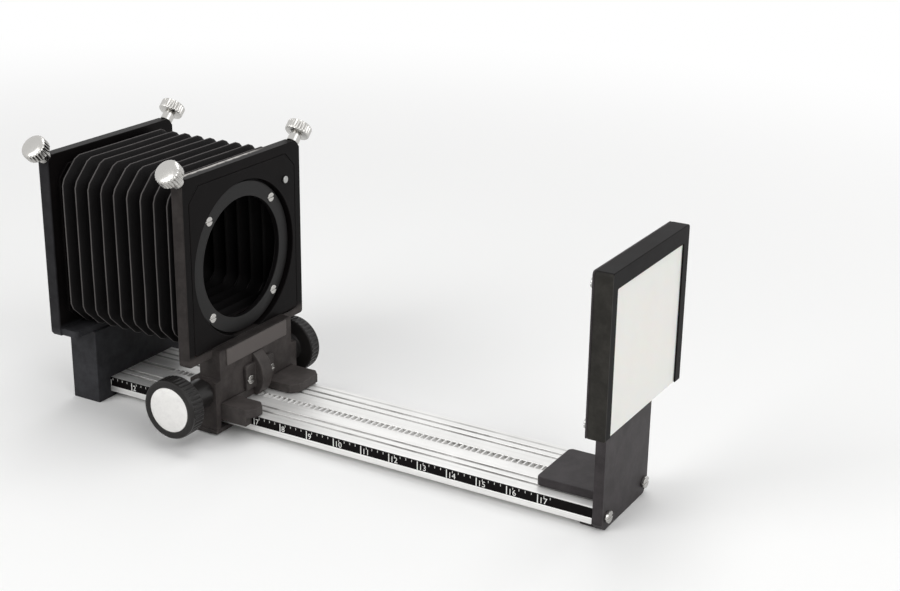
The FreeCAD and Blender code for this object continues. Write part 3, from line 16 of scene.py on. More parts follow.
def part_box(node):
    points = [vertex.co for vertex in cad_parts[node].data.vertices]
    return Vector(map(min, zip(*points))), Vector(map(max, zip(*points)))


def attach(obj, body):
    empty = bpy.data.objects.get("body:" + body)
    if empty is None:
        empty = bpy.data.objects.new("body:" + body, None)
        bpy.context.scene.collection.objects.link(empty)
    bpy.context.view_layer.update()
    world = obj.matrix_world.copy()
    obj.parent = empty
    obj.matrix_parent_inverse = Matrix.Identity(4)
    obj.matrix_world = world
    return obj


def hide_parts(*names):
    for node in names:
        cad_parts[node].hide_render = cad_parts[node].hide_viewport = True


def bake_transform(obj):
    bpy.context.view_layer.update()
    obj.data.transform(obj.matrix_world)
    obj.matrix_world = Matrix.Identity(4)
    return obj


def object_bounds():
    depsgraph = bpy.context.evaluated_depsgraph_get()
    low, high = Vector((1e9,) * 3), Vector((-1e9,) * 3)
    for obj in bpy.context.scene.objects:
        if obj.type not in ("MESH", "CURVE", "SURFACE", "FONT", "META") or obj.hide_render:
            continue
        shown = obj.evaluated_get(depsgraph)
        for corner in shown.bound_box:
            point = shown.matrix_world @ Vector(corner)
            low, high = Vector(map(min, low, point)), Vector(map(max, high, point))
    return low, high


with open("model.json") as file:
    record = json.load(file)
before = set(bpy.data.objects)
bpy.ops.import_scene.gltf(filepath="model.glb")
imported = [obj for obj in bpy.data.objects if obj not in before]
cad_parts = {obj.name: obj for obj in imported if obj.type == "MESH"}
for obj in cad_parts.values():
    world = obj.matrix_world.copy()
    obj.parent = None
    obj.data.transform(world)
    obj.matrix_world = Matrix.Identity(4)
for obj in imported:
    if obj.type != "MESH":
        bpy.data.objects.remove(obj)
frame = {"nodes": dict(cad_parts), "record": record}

CAD_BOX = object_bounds()
MM = 0.001
FULL_TURN = math.tau

log = logging.getLogger("macro_bellows")

Point = tuple[float, float, float]
Colour = tuple[float, float, float]
Value = Union["Socket", float]


class Side(Enum):
    """Which side of the rail a piece is on, as the sign of Y."""

    NEAR = -1
    FAR = 1


class Body(Enum):
    """The moving bodies that pieces ride on."""

    ROOT = "root"
    CARRIAGE = "front_standard"
    DRIVE = "focus_drive"


# ---------------------------------------------------------------- shader maths


class Socket:
    """An output socket that takes part in Python arithmetic.

    Attributes:
        graph: The graph that the socket's node is in.
        output: The socket itself, or None for a node that has none.
    """

    def __init__(self, graph: "Graph", output: Optional[bpy.types.NodeSocket]) -> None:
        """Wraps an output socket of a graph."""
        self.graph = graph
        self.output = output

    def __add__(self, other: Value) -> "Socket":
        """Returns self + other."""
        return self.graph.math("ADD", self, other)

    def __radd__(self, other: Value) -> "Socket":
        """Returns other + self."""
        return self.graph.math("ADD", other, self)

    def __sub__(self, other: Value) -> "Socket":
        """Returns self - other."""
        return self.graph.math("SUBTRACT", self, other)

    def __rsub__(self, other: Value) -> "Socket":
        """Returns other - self."""
        return self.graph.math("SUBTRACT", other, self)

    def __mul__(self, other: Value) -> "Socket":
        """Returns self * other."""
        return self.graph.math("MULTIPLY", self, other)

    def __rmul__(self, other: Value) -> "Socket":
        """Returns other * self."""
        return self.graph.math("MULTIPLY", other, self)

    def between(self, low: float, high: float) -> "Socket":
        """Returns a smooth step from 0 at low to 1 at high.

        Args:
            low: The value below which the step is 0.
            high: The value above which the step is 1.

        Returns:
            The stepped value.
        """
        return self.graph.node(
            "ShaderNodeMapRange",
            {"interpolation_type": "SMOOTHSTEP"},
            {"Value": self, "From Min": low, "From Max": high},
        )


class Graph:
    """The node tree of one material or of the world.

    Attributes:
        owner: The material or the world.
        tree: Its node tree.
        EDGE_SAMPLES: How many rays look for an edge at each point.
    """

    EDGE_SAMPLES = 6

    def __init__(self, owner: Union[bpy.types.Material, bpy.types.World]) -> None:
        """Empties the node tree of a material or of the world.

        Args:
            owner: The material or the world.
        """
        owner.use_nodes = True
        self.owner = owner
        self.tree = owner.node_tree
        self.tree.nodes.clear()

    def node(
        self,
        kind: str,
        settings: Optional[Mapping[str, Any]] = None,
        sockets: Optional[Mapping[Union[str, int], Any]] = None,
        output: Union[str, int] = 0,
    ) -> Socket:
        """Adds a node of any type.

        Args:
            kind: The node's type name.
            settings: Its settings, which are set first.
            sockets: Values or links of its input sockets, by name or number.
            output: The output that is returned, where the node has one.

        Returns:
            The output socket.
        """
        made = self.tree.nodes.new(kind)
        for key, setting in (settings or {}).items():
            setattr(made, key, setting)
        for key, value in (sockets or {}).items():
            if isinstance(value, Socket):
                self.tree.links.new(value.output, made.inputs[key])
            else:
                made.inputs[key].default_value = value
        return Socket(self, made.outputs[output] if made.outputs else None)

    def math(self, operation: str, *values: Value) -> Socket:
        """Adds a Math node.

        Args:
            operation: What it does.
            *values: The one or two values that it takes.

        Returns:
            The result.
        """
        return self.node(
            "ShaderNodeMath", {"operation": operation}, dict(enumerate(values))
        )

    def vector(self, operation: str, *values: Any, output: int = 0) -> Socket:
        """Adds a Vector Math node.

        Args:
            operation: What it does.
            *values: The one or two vectors that it takes.
            output: 0 for a result that is a vector, 1 for a number.

        Returns:
            The result.
        """
        return self.node(
            "ShaderNodeVectorMath",
            {"operation": operation},
            dict(enumerate(values)),
            output,
        )

    def blend(self, factor: Value, low: Any, high: Any) -> Socket:
        """Mixes two colours.

        Args:
            factor: 0 for the first colour, 1 for the second.
            low: The first colour, as numbers or a socket.
            high: The second colour.

        Returns:
            The mixed colour.
        """
        ends = [c if isinstance(c, Socket) else (*c, 1.0) for c in (low, high)]
        return self.node(
            "ShaderNodeMix",
            {"data_type": "RGBA"},
            {0: factor, 6: ends[0], 7: ends[1]},
            2,
        )

    def place(self) -> Socket:
        """Returns the place on the piece, in metres."""
        return self.node("ShaderNodeTexCoord", output="Object")

    def along(self, place: Socket, axis: str) -> Socket:
        """Returns one coordinate of a place, by its axis."""
        return self.node("ShaderNodeSeparateXYZ", None, {0: place}, axis)

    def scaled(self, place: Socket, across: Point) -> Socket:
        """Returns a place with each axis multiplied by its own number."""
        return self.vector("MULTIPLY", place, across)

    def radius(self, place: Socket, plane: Point) -> Socket:
        """Returns the distance from an axis, with 1 for the axes across it."""
        return self.vector("LENGTH", self.scaled(place, plane), output=1)

    def waves(self, turn: Socket) -> Socket:
        """Returns a wave from 0 to 1, once for each full turn."""
        return self.math("SINE", turn) * 0.5 + 0.5

    def grain(
        self, place: Socket, per_metre: float, detail: float = 3.0, rough: float = 0.55
    ) -> Socket:
        """Returns cloudy noise from 0 to 1.

        Args:
            place: Where on the piece.
            per_metre: How many lumps there are in a metre.
            detail: How many finer layers are added.
            rough: How strong each finer layer is.

        Returns:
            The noise.
        """
        return self.node(
            "ShaderNodeTexNoise",
            {"noise_dimensions": "3D"},
            {"Vector": place, "Scale": per_metre, "Detail": detail, "Roughness": rough},
        )

    def cell_edges(self, place: Socket, per_metre: float) -> Socket:
        """Finds the distance to the nearest edge between two cells.

        Args:
            place: Where on the piece.
            per_metre: How many cells there are in a metre.

        Returns:
            The distance, in cells.
        """
        return self.node(
            "ShaderNodeTexVoronoi",
            {"feature": "DISTANCE_TO_EDGE"},
            {"Vector": place, "Scale": per_metre},
        )

    def edges(self, reach: float) -> Socket:
        """Returns a mask that is 1 on outside and inside edges.

        Args:
            reach: How far from the edge the mask starts, in metres.

        Returns:
            The mask.
        """
        rounded = self.node(
            "ShaderNodeBevel", {"samples": self.EDGE_SAMPLES}, {"Radius": reach}
        )
        flat = self.node("ShaderNodeNewGeometry", output="Normal")
        turned = self.vector("DOT_PRODUCT", rounded, flat, output=1)
        return (1.0 - turned).between(0.01, 0.16)

    def bump(self, height: Socket, depth: float) -> Socket:
        """Returns the surface's normal, bent by a height map.

        Args:
            height: The height, from 0 to 1.
            depth: How deep a height of 1 is, in metres.

        Returns:
            The bent normal.
        """
        return self.node(
            "ShaderNodeBump",
            None,
            {"Strength": 1.0, "Distance": depth, "Height": height},
        )

    def shown(self) -> Socket:
        """Finds the rays that show the surroundings as they are seen.

        Returns:
            1 for rays from the camera, off gloss or through glass, 0 for others.
        """
        seen = self.node("ShaderNodeLightPath", output="Is Camera Ray")
        for kind in ("Is Glossy Ray", "Is Transmission Ray"):
            ray = self.node("ShaderNodeLightPath", output=kind)
            seen = self.math("MAXIMUM", seen, ray)
        return seen

    def surface(self, **sockets: Any) -> bpy.types.Material:
        """Ends the tree in a Principled shader and returns the material.

        Args:
            **sockets: The shader's inputs, with underscores for spaces.

        Returns:
            The finished material.
        """
        named = {
            key.replace("_", " ").title().replace("Ior", "IOR"): value
            for key, value in sockets.items()
        }
        return self.finish(self.node("ShaderNodeBsdfPrincipled", None, named))

    def finish(self, shader: Socket) -> bpy.types.Material:
        """Joins a shader to the material's output and returns the material."""
        self.node("ShaderNodeOutputMaterial", None, {"Surface": shader})
        return self.owner


# -------------------------------------------------------------------- finishes


@dataclass(frozen=True)
class Finish:
    """A finish that several pieces can share.

    Attributes:
        name: The material's name.
        slot: The record's slot that it belongs to; not used.
    """

    name: str
    slot: str

    def material(self) -> bpy.types.Material:
        """Makes the finish's material, the first time that it is asked for.

        Returns:
            The material.
        """
        made = bpy.data.materials.get(self.name)
        return made or self.shade(Graph(bpy.data.materials.new(self.name)))

    def shade(self, graph: Graph) -> bpy.types.Material:
        """Builds the material's nodes in a graph and returns the material."""
        raise NotImplementedError


@dataclass(frozen=True)
class StovedPaint(Finish):
    """Black stoving enamel, satin, rubbed along its edges.

    Attributes:
        colour: The paint.
        rubbed: The paint where hands have polished the edges.
        metal: The bare metal in the worst chips.
        gloss: Its roughness.
        shine: Its specular level, 0.5 for a full varnish.
        pebble: The size of its orange peel.
        relief: How deep the orange peel is.
        clouds: How many cloudy patches there are in a metre.
        specks: How many specks there are in a metre.
        edge: How far from an edge the paint is rubbed.
    """

    colour: Colour = (0.0045, 0.0038, 0.0039)
    rubbed: Colour = (0.026, 0.022, 0.0215)
    # metal: The bare metal in the worst chips, also the colour of FrontPaint's painted
    # highlight line.
    metal: Colour = (0.42, 0.40, 0.38)
    gloss: float = 0.40
    shine: float = 0.05
    pebble: float = 0.55 * MM
    relief: float = 0.012 * MM
    clouds: float = 60.0
    specks: float = 900.0
    edge: float = 0.5 * MM

    def dulled(self, graph: Graph, place: Socket, colour: Socket) -> Socket:
        """Returns the colour with grime and painted light; here it has neither."""
        return colour

    def bared(self, graph: Graph, place: Socket, chip: Socket) -> Socket:
        """Returns the mask of the bare metal and any painted highlight; here it is the
        chips alone.
        """
        return chip

    def shade(self, graph: Graph) -> bpy.types.Material:
        """Builds the paint's nodes.

        Args:
            graph: The graph that gets them.

        Returns:
            The material.
        """
        place = graph.place()
        peel = graph.grain(place, 1 / self.pebble, 2.0)
        cloud = graph.grain(place, self.clouds, 4.0, 0.6)
        speck = graph.grain(place, self.specks, 3.0, 0.7)
        edge = graph.edges(self.edge)
        worn = edge * (cloud * 0.6 + speck * 0.6).between(0.42, 0.78)
        chip = edge * (cloud * 0.5 + speck * 0.7).between(0.76, 0.84)
        colour = graph.blend(cloud.between(0.3, 0.8) * 0.5, self.colour, self.rubbed)
        colour = graph.blend(cloud.between(0.25, 0.9) * 0.25, self.colour, colour)
        # Grime and painted light, where a subclass adds them.
        colour = self.dulled(graph, place, colour)
        colour = graph.blend(worn * 0.8, colour, self.rubbed)
        # Bare metal of the chips, plus any painted highlight that a subclass adds.
        chip = self.bared(graph, place, chip)
        colour = graph.blend(chip, colour, self.metal)
        rough = self.gloss - 0.10 + cloud * 0.16 + speck * 0.05 - worn * 0.07
        return graph.surface(
            base_color=colour,
            roughness=rough,
            metallic=chip * 0.9,
            normal=graph.bump(peel, self.relief),
            specular_ior_level=self.shine,
        )


@dataclass(frozen=True)
class CastingPaint(StovedPaint):
    """The same enamel on a rough casting, greyer in patches: grime from handling, and
    painted light, paler paint standing in for light thrown up from the bright floor.

    Attributes:
        dust: The greyed paint, grime together with painted light from the floor.
        patch: How many greyed patches there are in a metre.
        least: How much the paint is greyed between the patches.
    """

    dust: Colour = (0.076, 0.067, 0.064)
    patch: float = 130.0
    least: float = 0.55

    def greyed(self, graph: Graph, place: Socket) -> Socket:
        """Finds where the paint is greyed.

        Args:
            graph: The graph that gets the nodes.
            place: Where on the piece.

        Returns:
            The mask of the greyed paint.
        """
        patchy = graph.grain(place, self.patch, 5.0, 0.7).between(0.3, 0.75)
        return self.least + patchy * (1.0 - self.least)

    def dulled(self, graph: Graph, place: Socket, colour: Socket) -> Socket:
        """Returns the colour, greyed in patches of grime and painted light."""
        return graph.blend(self.greyed(graph, place), colour, self.dust)


@dataclass(frozen=True)
class StandardPaint(CastingPaint):
    """A standard's enamel: black plate, with painted light greying the paint below the
    board and on the plate's near side face.

    Attributes:
        board: The node of the board, above whose foot the plate is black.
        side: How much painted light greys the plate's near side face.
        side_reach: How far from the near side that edge reaches.
        foot_above: How far above the board's foot the painted light ends.
        foot_below: How far below it the painted light is full.
    """

    board: str = "camera_board"
    side: float = 0.55
    side_reach: float = 0.4 * MM
    foot_above: float = 1.0 * MM
    foot_below: float = 2.0 * MM

    def greyed(self, graph: Graph, place: Socket) -> Socket:
        """Finds the greyed paint: painted light, in patches, below the board and on the
        near side face.

        Args:
            graph: The graph that gets the nodes.
            place: Where on the piece.

        Returns:
            The mask of the greyed paint.
        """
        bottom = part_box(self.board)[0].z
        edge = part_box(Body.CARRIAGE.value)[0].y + self.side_reach
        height = graph.along(place, "Z")
        # Painted light: the paint below the board's foot is paler, standing in for light
        # thrown up from the floor.
        lower = 1.0 - height.between(bottom - self.foot_below, bottom + self.foot_above)
        # Painted light: the plate's near side face is paler, as a lit side.
        near = 1.0 - graph.along(place, "Y").between(edge, edge + self.side_reach)
        mask = graph.math("MAXIMUM", lower, near * self.side)
        return super().greyed(graph, place) * mask


@dataclass(frozen=True)
class FrontPaint(StandardPaint):
    """The front standard's enamel, with a bright bare-metal line painted along the plate's
    rear top edge as a highlight.

    Attributes:
        line: Width of the painted highlight line.
        line_end: Where it fades, across from the middle.
        line_fade: The length of that fade.
        line_deep: How far below the top it ends.
        line_soft: The height over which it ends.
    """

    line: float = 1.7 * MM
    line_end: float = 4.0 * MM
    line_fade: float = 18.0 * MM
    line_deep: float = 0.6 * MM
    line_soft: float = 0.1 * MM

    def bared(self, graph: Graph, place: Socket, chip: Socket) -> Socket:
        """Finds the bare metal and the painted highlight: the chips, and a bright line
        along the plate's rear top edge.

        Args:
            graph: The graph that gets the nodes.
            place: Where on the piece.
            chip: The mask of the chips.

        Returns:
            The mask of the bare metal and the painted highlight.
        """
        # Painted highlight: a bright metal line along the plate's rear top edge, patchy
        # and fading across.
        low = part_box("front_standard")[1].z - self.line_deep
        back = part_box("bellows_front_frame")[1].x
        high = graph.along(place, "Z").between(low, low + self.line_soft)
        uneven = (graph.grain(place, 260.0, 4.0, 0.7) - 0.5) * (self.line * 1.6)
        behind = graph.along(place, "X") + uneven
        rear = 1.0 - behind.between(back + self.line * 0.75, back + self.line * 1.25)
        across = graph.along(place, "Y")
        ended = 1.0 - across.between(self.line_end, self.line_end + self.line_fade)
        cloud = 0.7 + graph.grain(place, 500.0, 4.0, 0.6).between(0.35, 0.55) * 0.3
        return graph.math("MAXIMUM", chip, high * rear * ended * cloud)


@dataclass(frozen=True)
class CopierPaint(CastingPaint):
    """The slide frame's enamel, greyed on the near wall's face as painted light, a paler
    lit side.

    Attributes:
        wall: How far the painted light reaches from the near face.
    """

    wall: float = 0.5 * MM

    def greyed(self, graph: Graph, place: Socket) -> Socket:
        """Finds the greyed paint: painted light on the near wall's face.

        Args:
            graph: The graph that gets the nodes.
            place: Where on the piece.

        Returns:
            The mask of the greyed paint.
        """
        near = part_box("slide_frame")[0].y + self.wall
        # Painted light: the near wall's face is paler, as a lit side.
        wall = 1.0 - graph.along(place, "Y").between(near, near + self.wall)
        return super().greyed(graph, place) * wall


@dataclass(frozen=True)
class TurnedBlack(Finish):
    """Black finish over fine lathe lines about an axis along X.

    Attributes:
        centre: A point of the lathe axis.
        colour: The black.
        worn: The black where its edges are worn.
        gloss: Its roughness.
        shine: Its specular level.
        groove: The spacing of the lathe lines.
        relief: How deep they are.
        edge: How far from an edge the black is worn.
    """

    centre: Point = (0.0, 0.0, 0.0)
    colour: Colour = (0.006, 0.0055, 0.0056)
    worn: Colour = (0.05, 0.047, 0.045)
    gloss: float = 0.24
    shine: float = 0.2
    groove: float = 0.32 * MM
    relief: float = 0.014 * MM
    edge: float = 0.35 * MM

    def shade(self, graph: Graph) -> bpy.types.Material:
        """Builds the nodes of the turned finish.

        Args:
            graph: The graph that gets them.

        Returns:
            The material.
        """
        place = graph.place()
        across = graph.vector("SUBTRACT", place, self.centre)
        radius = graph.radius(across, (0.0, 1.0, 1.0))
        line = graph.waves(radius * (FULL_TURN / self.groove))
        cloud = graph.grain(place, 90.0, 4.0)
        worn = graph.edges(self.edge) * cloud.between(0.4, 0.75)
        return graph.surface(
            base_color=graph.blend(worn, self.colour, self.worn),
            roughness=self.gloss + cloud * 0.12 + line * 0.05,
            normal=graph.bump(line, self.relief),
            metallic=worn * 0.3,
            specular_ior_level=self.shine,
        )


@dataclass(frozen=True)
class DrawnAluminium(Finish):
    """Aluminium with the fine streaks of drawing or milling along one axis.

    Attributes:
        colour: The metal.
        shadow: The metal in its deeper streaks.
        polished: The metal along its edges.
        stretch: How many streaks a metre holds along X, Y and Z.
        bands: The share of that number that the broad bands have.
        scuffs: How many scuffs there are in a metre.
        gloss: Its roughness.
        metal: 1 for clean metal, less where its skin has turned chalky.
        relief: How deep the streaks are.
        edge: How far from an edge the metal is polished.
    """

    colour: Colour = (0.95, 0.945, 0.93)
    shadow: Colour = (0.74, 0.735, 0.72)
    polished: Colour = (0.93, 0.93, 0.92)
    stretch: Point = (14.0, 1500.0, 1500.0)
    bands: float = 0.12
    scuffs: float = 45.0
    gloss: float = 0.34
    metal: float = 1.0
    relief: float = 0.004 * MM
    edge: float = 0.3 * MM

    def soiled(self, graph: Graph, place: Socket, colour: Socket) -> Socket:
        """Returns the colour with any painted shade; here there is none."""
        return colour

    def shade(self, graph: Graph) -> bpy.types.Material:
        """Builds the metal's nodes.

        Args:
            graph: The graph that gets them.

        Returns:
            The material.
        """
        place = graph.place()
        streak = graph.grain(graph.scaled(place, self.stretch), 1.0, 5.0, 0.62)
        broad = tuple(number * self.bands for number in self.stretch)
        band = graph.grain(graph.scaled(place, broad), 1.0, 3.0)
        scuff = graph.grain(place, self.scuffs, 5.0, 0.65)
        tone = streak * 0.5 + band * 0.35 + scuff * 0.25
        colour = graph.blend(tone.between(0.30, 0.78), self.shadow, self.colour)
        colour = graph.blend(graph.edges(self.edge) * 0.5, colour, self.polished)
        return graph.surface(
            base_color=self.soiled(graph, place, colour),
            roughness=self.gloss - 0.10 + streak * 0.14 + scuff * 0.12,
            metallic=self.metal,
            normal=graph.bump(streak, self.relief),
        )


@dataclass(frozen=True)
class RailMetal(DrawnAluminium):
    """The rail's drawn aluminium, with painted shade darkening its lengthwise grooves and
    a painted shade line along its far side.

    Attributes:
        dirt: The colour of the painted shade.
        clear: How deep below the top the painted shade starts.
        deep: How deep it ends.
        margin: How far from the rail's sides the top is counted.
        margin_soft: The width over which that ends.
        track: Where the painted shade line runs along the far side, across.
        track_half: Half the width of that line.
        track_dirt: How dark the painted shade makes that line.
    """

    dirt: Colour = (0.27, 0.265, 0.255)
    clear: float = 0.12 * MM
    deep: float = 1.2 * MM
    margin: float = 1.0 * MM
    margin_soft: float = 0.5 * MM
    track: float = 17.6 * MM
    track_half: float = 0.9 * MM
    track_dirt: float = 0.75

    def soiled(self, graph: Graph, place: Socket, colour: Socket) -> Socket:
        """Paints shade into the grooves of the top and a shade line along its far side.

        Args:
            graph: The graph that gets the nodes.
            place: Where on the rail.
            colour: The clean metal.

        Returns:
            The colour with its painted shade.
        """
        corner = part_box("rail")[1]
        top, side = corner.z, corner.y - self.margin
        height = graph.along(place, "Z")
        across = graph.along(place, "Y")
        # Painted shade: the grooves below the top are darkened.
        below = 1.0 - height.between(top - self.clear * 2, top - self.clear)
        above = height.between(top - self.deep * 1.1, top - self.deep)
        outward = graph.math("ABSOLUTE", across)
        inside = 1.0 - outward.between(side, side + self.margin_soft)
        patchy = 0.55 + graph.grain(place, 60.0, 4.0).between(0.35, 0.7) * 0.45
        colour = graph.blend(below * above * inside * patchy, colour, self.dirt)
        # Painted shade: a dark line along the far side of the top, standing in for the
        # shade of the rail's far edge.
        aside = graph.math("ABSOLUTE", across - self.track)
        shade_line_mask = 1.0 - aside.between(self.track_half * 0.4, self.track_half)
        track = shade_line_mask * (1.0 - below) * patchy * self.track_dirt
        return graph.blend(track, colour, self.dirt)


@dataclass(frozen=True)
class PlatedMetal(Finish):
    """Plated or plain bright metal with smudges and fine pits.

    Attributes:
        colour: The metal.
        gloss: Its roughness.
        smudge: How much the roughness changes.
        grime: The colour that collects in corners.
        smudges: How many smudges there are in a metre.
        pits: How many fine lumps there are in a metre.
        relief: How deep the pits are.
    """

    colour: Colour = (0.52, 0.51, 0.49)
    gloss: float = 0.20
    smudge: float = 0.16
    grime: Colour = (0.12, 0.11, 0.10)
    smudges: float = 260.0
    pits: float = 2600.0
    relief: float = 0.003 * MM

    def shade(self, graph: Graph) -> bpy.types.Material:
        """Builds the metal's nodes.

        Args:
            graph: The graph that gets them.

        Returns:
            The material.
        """
        place = graph.place()
        cloud = graph.grain(place, self.smudges, 4.0, 0.6)
        fine = graph.grain(place, self.pits, 2.0)
        pit = fine.between(0.66, 0.76)
        colour = graph.blend(cloud.between(0.55, 0.9) * 0.5, self.colour, self.grime)
        return graph.surface(
            base_color=graph.blend(pit * 0.35, colour, self.grime),
            roughness=self.gloss + (cloud - 0.4) * self.smudge + pit * 0.1,
            metallic=1.0,
            normal=graph.bump(fine, self.relief),
        )


@dataclass(frozen=True)
class SpunDisc(Finish):
    """A bright disc with concentric spinning lines about its own Z axis.

    Attributes:
        colour: The metal.
        shadow: The metal in its clouds and lines.
        gloss: Its roughness.
        metal: 1 for clean metal, less for a chalky skin.
        ring: The spacing of the lines.
        wobble: How uneven they are, in radians.
        relief: How deep they are.
    """

    colour: Colour = (0.90, 0.89, 0.87)
    shadow: Colour = (0.62, 0.61, 0.60)
    gloss: float = 0.30
    metal: float = 0.85
    ring: float = 0.42 * MM
    wobble: float = 0.4
    relief: float = 0.004 * MM

    def shade(self, graph: Graph) -> bpy.types.Material:
        """Builds the disc's nodes.

        Args:
            graph: The graph that gets them.

        Returns:
            The material.
        """
        place = graph.place()
        radius = graph.radius(place, (1.0, 1.0, 0.0))
        wobble = graph.grain(place, 180.0, 2.0) * self.wobble
        line = graph.waves(radius * (FULL_TURN / self.ring) + wobble)
        cloud = graph.grain(place, 320.0, 5.0, 0.65)
        shade = cloud.between(0.35, 0.95) * 0.5 + line * 0.12
        return graph.surface(
            base_color=graph.blend(shade, self.colour, self.shadow),
            roughness=self.gloss + cloud * 0.14 + line * 0.05,
            metallic=self.metal,
            normal=graph.bump(line, self.relief),
        )


@dataclass(frozen=True)
class CoatedCloth(Finish):
    """Black coated bellows cloth, grained, paler along its outer folds: worn ridges with a
    painted highlight, and painted light that leaves the valleys darker.

    Attributes:
        colour: The coating.
        rubbed: The coating along the outer folds, worn and with a painted highlight.
        gloss: Its roughness.
        shine: Its specular level.
        grain_size: The size of the pressed grain.
        threads: How many threads there are in a metre.
        relief: How deep grain and weave are together.
    """

    colour: Colour = (0.0042, 0.0037, 0.0039)
    rubbed: Colour = (0.12, 0.112, 0.110)
    gloss: float = 0.46
    shine: float = 0.09
    grain_size: float = 0.55 * MM
    threads: float = 3200.0
    relief: float = 0.035 * MM

    def shade(self, graph: Graph) -> bpy.types.Material:
        """Builds the cloth's nodes.

        Args:
            graph: The graph that gets them.

        Returns:
            The material.
        """
        place = graph.place()
        fold = graph.node(
            "ShaderNodeAttribute", {"attribute_name": Bellows.FOLD_MARK}, output="Fac"
        )
        leather = graph.cell_edges(place, 1 / self.grain_size).between(0.0, 0.22)
        weave = graph.grain(place, self.threads, 2.0)
        cloud = graph.grain(place, 70.0, 4.0, 0.6)
        # Painted highlight on the outer ridges, together with their wear.
        ridge = fold.between(0.94, 1.0)
        worn_ridge_highlight = ridge * (0.35 + cloud * 0.9)
        colour = graph.blend(worn_ridge_highlight, self.colour, self.rubbed)
        # Painted light: paler towards the outer folds, leaving painted shade in the
        # valleys.
        painted_fold_light = fold.between(0.4, 0.95) * cloud.between(0.35, 0.8) * 0.03
        rough = self.gloss + cloud * 0.16 + (1.0 - leather) * 0.12 - ridge * 0.08
        return graph.surface(
            base_color=graph.blend(painted_fold_light, colour, self.rubbed),
            roughness=rough,
            normal=graph.bump(leather * 0.8 + weave * 0.4, self.relief),
            specular_ior_level=self.shine,
        )


@dataclass(frozen=True)
class OpalSheet(Finish):
    """White opal plastic that lets some light in.

    Attributes:
        colour: The plastic.
        aged: The plastic where it has yellowed.
        gloss: Its roughness.
        relief: How deep its fine grain is.
        glow: How much of the light goes into the sheet.
        glow_depth: How deep it goes.
    """

    colour: Colour = (0.86, 0.85, 0.81)
    aged: Colour = (0.79, 0.775, 0.73)
    gloss: float = 0.42
    relief: float = 0.006 * MM
    glow: float = 0.25
    glow_depth: float = 2.0 * MM

    def shade(self, graph: Graph) -> bpy.types.Material:
        """Builds the plastic's nodes.

        Args:
            graph: The graph that gets them.

        Returns:
            The material.
        """
        place = graph.place()
        cloud = graph.grain(place, 55.0, 4.0)
        fine = graph.grain(place, 1900.0, 2.0)
        aged = cloud.between(0.45, 0.9) * 0.4
        return graph.surface(
            base_color=graph.blend(aged, self.colour, self.aged),
            roughness=self.gloss + cloud * 0.12,
            normal=graph.bump(fine, self.relief),
            subsurface_weight=self.glow,
            subsurface_scale=self.glow_depth,
        )


@dataclass(frozen=True)
class PlainPaint(Finish):
    """Thin paint in a small engraved mark.

    Attributes:
        colour: The paint.
        faded: The paint where it is thin.
        gloss: Its roughness.
        relief: How uneven it is.
    """

    colour: Colour = (0.80, 0.80, 0.78)
    faded: Colour = (0.45, 0.45, 0.43)
    gloss: float = 0.5
    relief: float = 0.01 * MM

    def shade(self, graph: Graph) -> bpy.types.Material:
        """Builds the paint's nodes.

        Args:
            graph: The graph that gets them.

        Returns:
            The material.
        """
        place = graph.place()
        thin = graph.grain(place, 1200.0, 3.0, 0.7)
        return graph.surface(
            base_color=graph.blend(thin.between(0.55, 0.8), self.colour, self.faded),
            roughness=self.gloss + thin * 0.2,
            normal=graph.bump(thin, self.relief),
        )


@dataclass(frozen=True)
class Ground(Finish):
    """The pale floor, which fades to white away from the object.

    Attributes:
        colour: The floor near the object.
        fleck: The floor's flecks.
        gloss: Its roughness.
        shine: Its specular level.
        relief: How deep its grain is.
        near: Where the fade starts, from the origin.
        far: Where the floor is white.
    """

    colour: Colour = (0.96, 0.96, 0.955)
    fleck: Colour = (0.90, 0.90, 0.89)
    gloss: float = 0.75
    shine: float = 0.15
    relief: float = 0.02 * MM
    near: float = 0.26
    far: float = 0.80

    def shade(self, graph: Graph) -> bpy.types.Material:
        """Builds the floor's nodes.

        Args:
            graph: The graph that gets them.

        Returns:
            The material.
        """
        place = graph.place()
        paper = graph.grain(place, 900.0, 3.0)
        matt = graph.node(
            "ShaderNodeBsdfPrincipled",
            None,
            {
                "Base Color": graph.blend(paper * 0.1, self.colour, self.fleck),
                "Roughness": self.gloss,
                "Normal": graph.bump(paper, self.relief),
                "Specular IOR Level": self.shine,
            },
        )
        white = graph.node("ShaderNodeEmission", None, {"Strength": 1.0})
        away = graph.vector("LENGTH", place, output=1).between(self.near, self.far)
        factor = away * graph.shown()
        return graph.finish(
            graph.node("ShaderNodeMixShader", None, {0: factor, 1: matt, 2: white})
        )


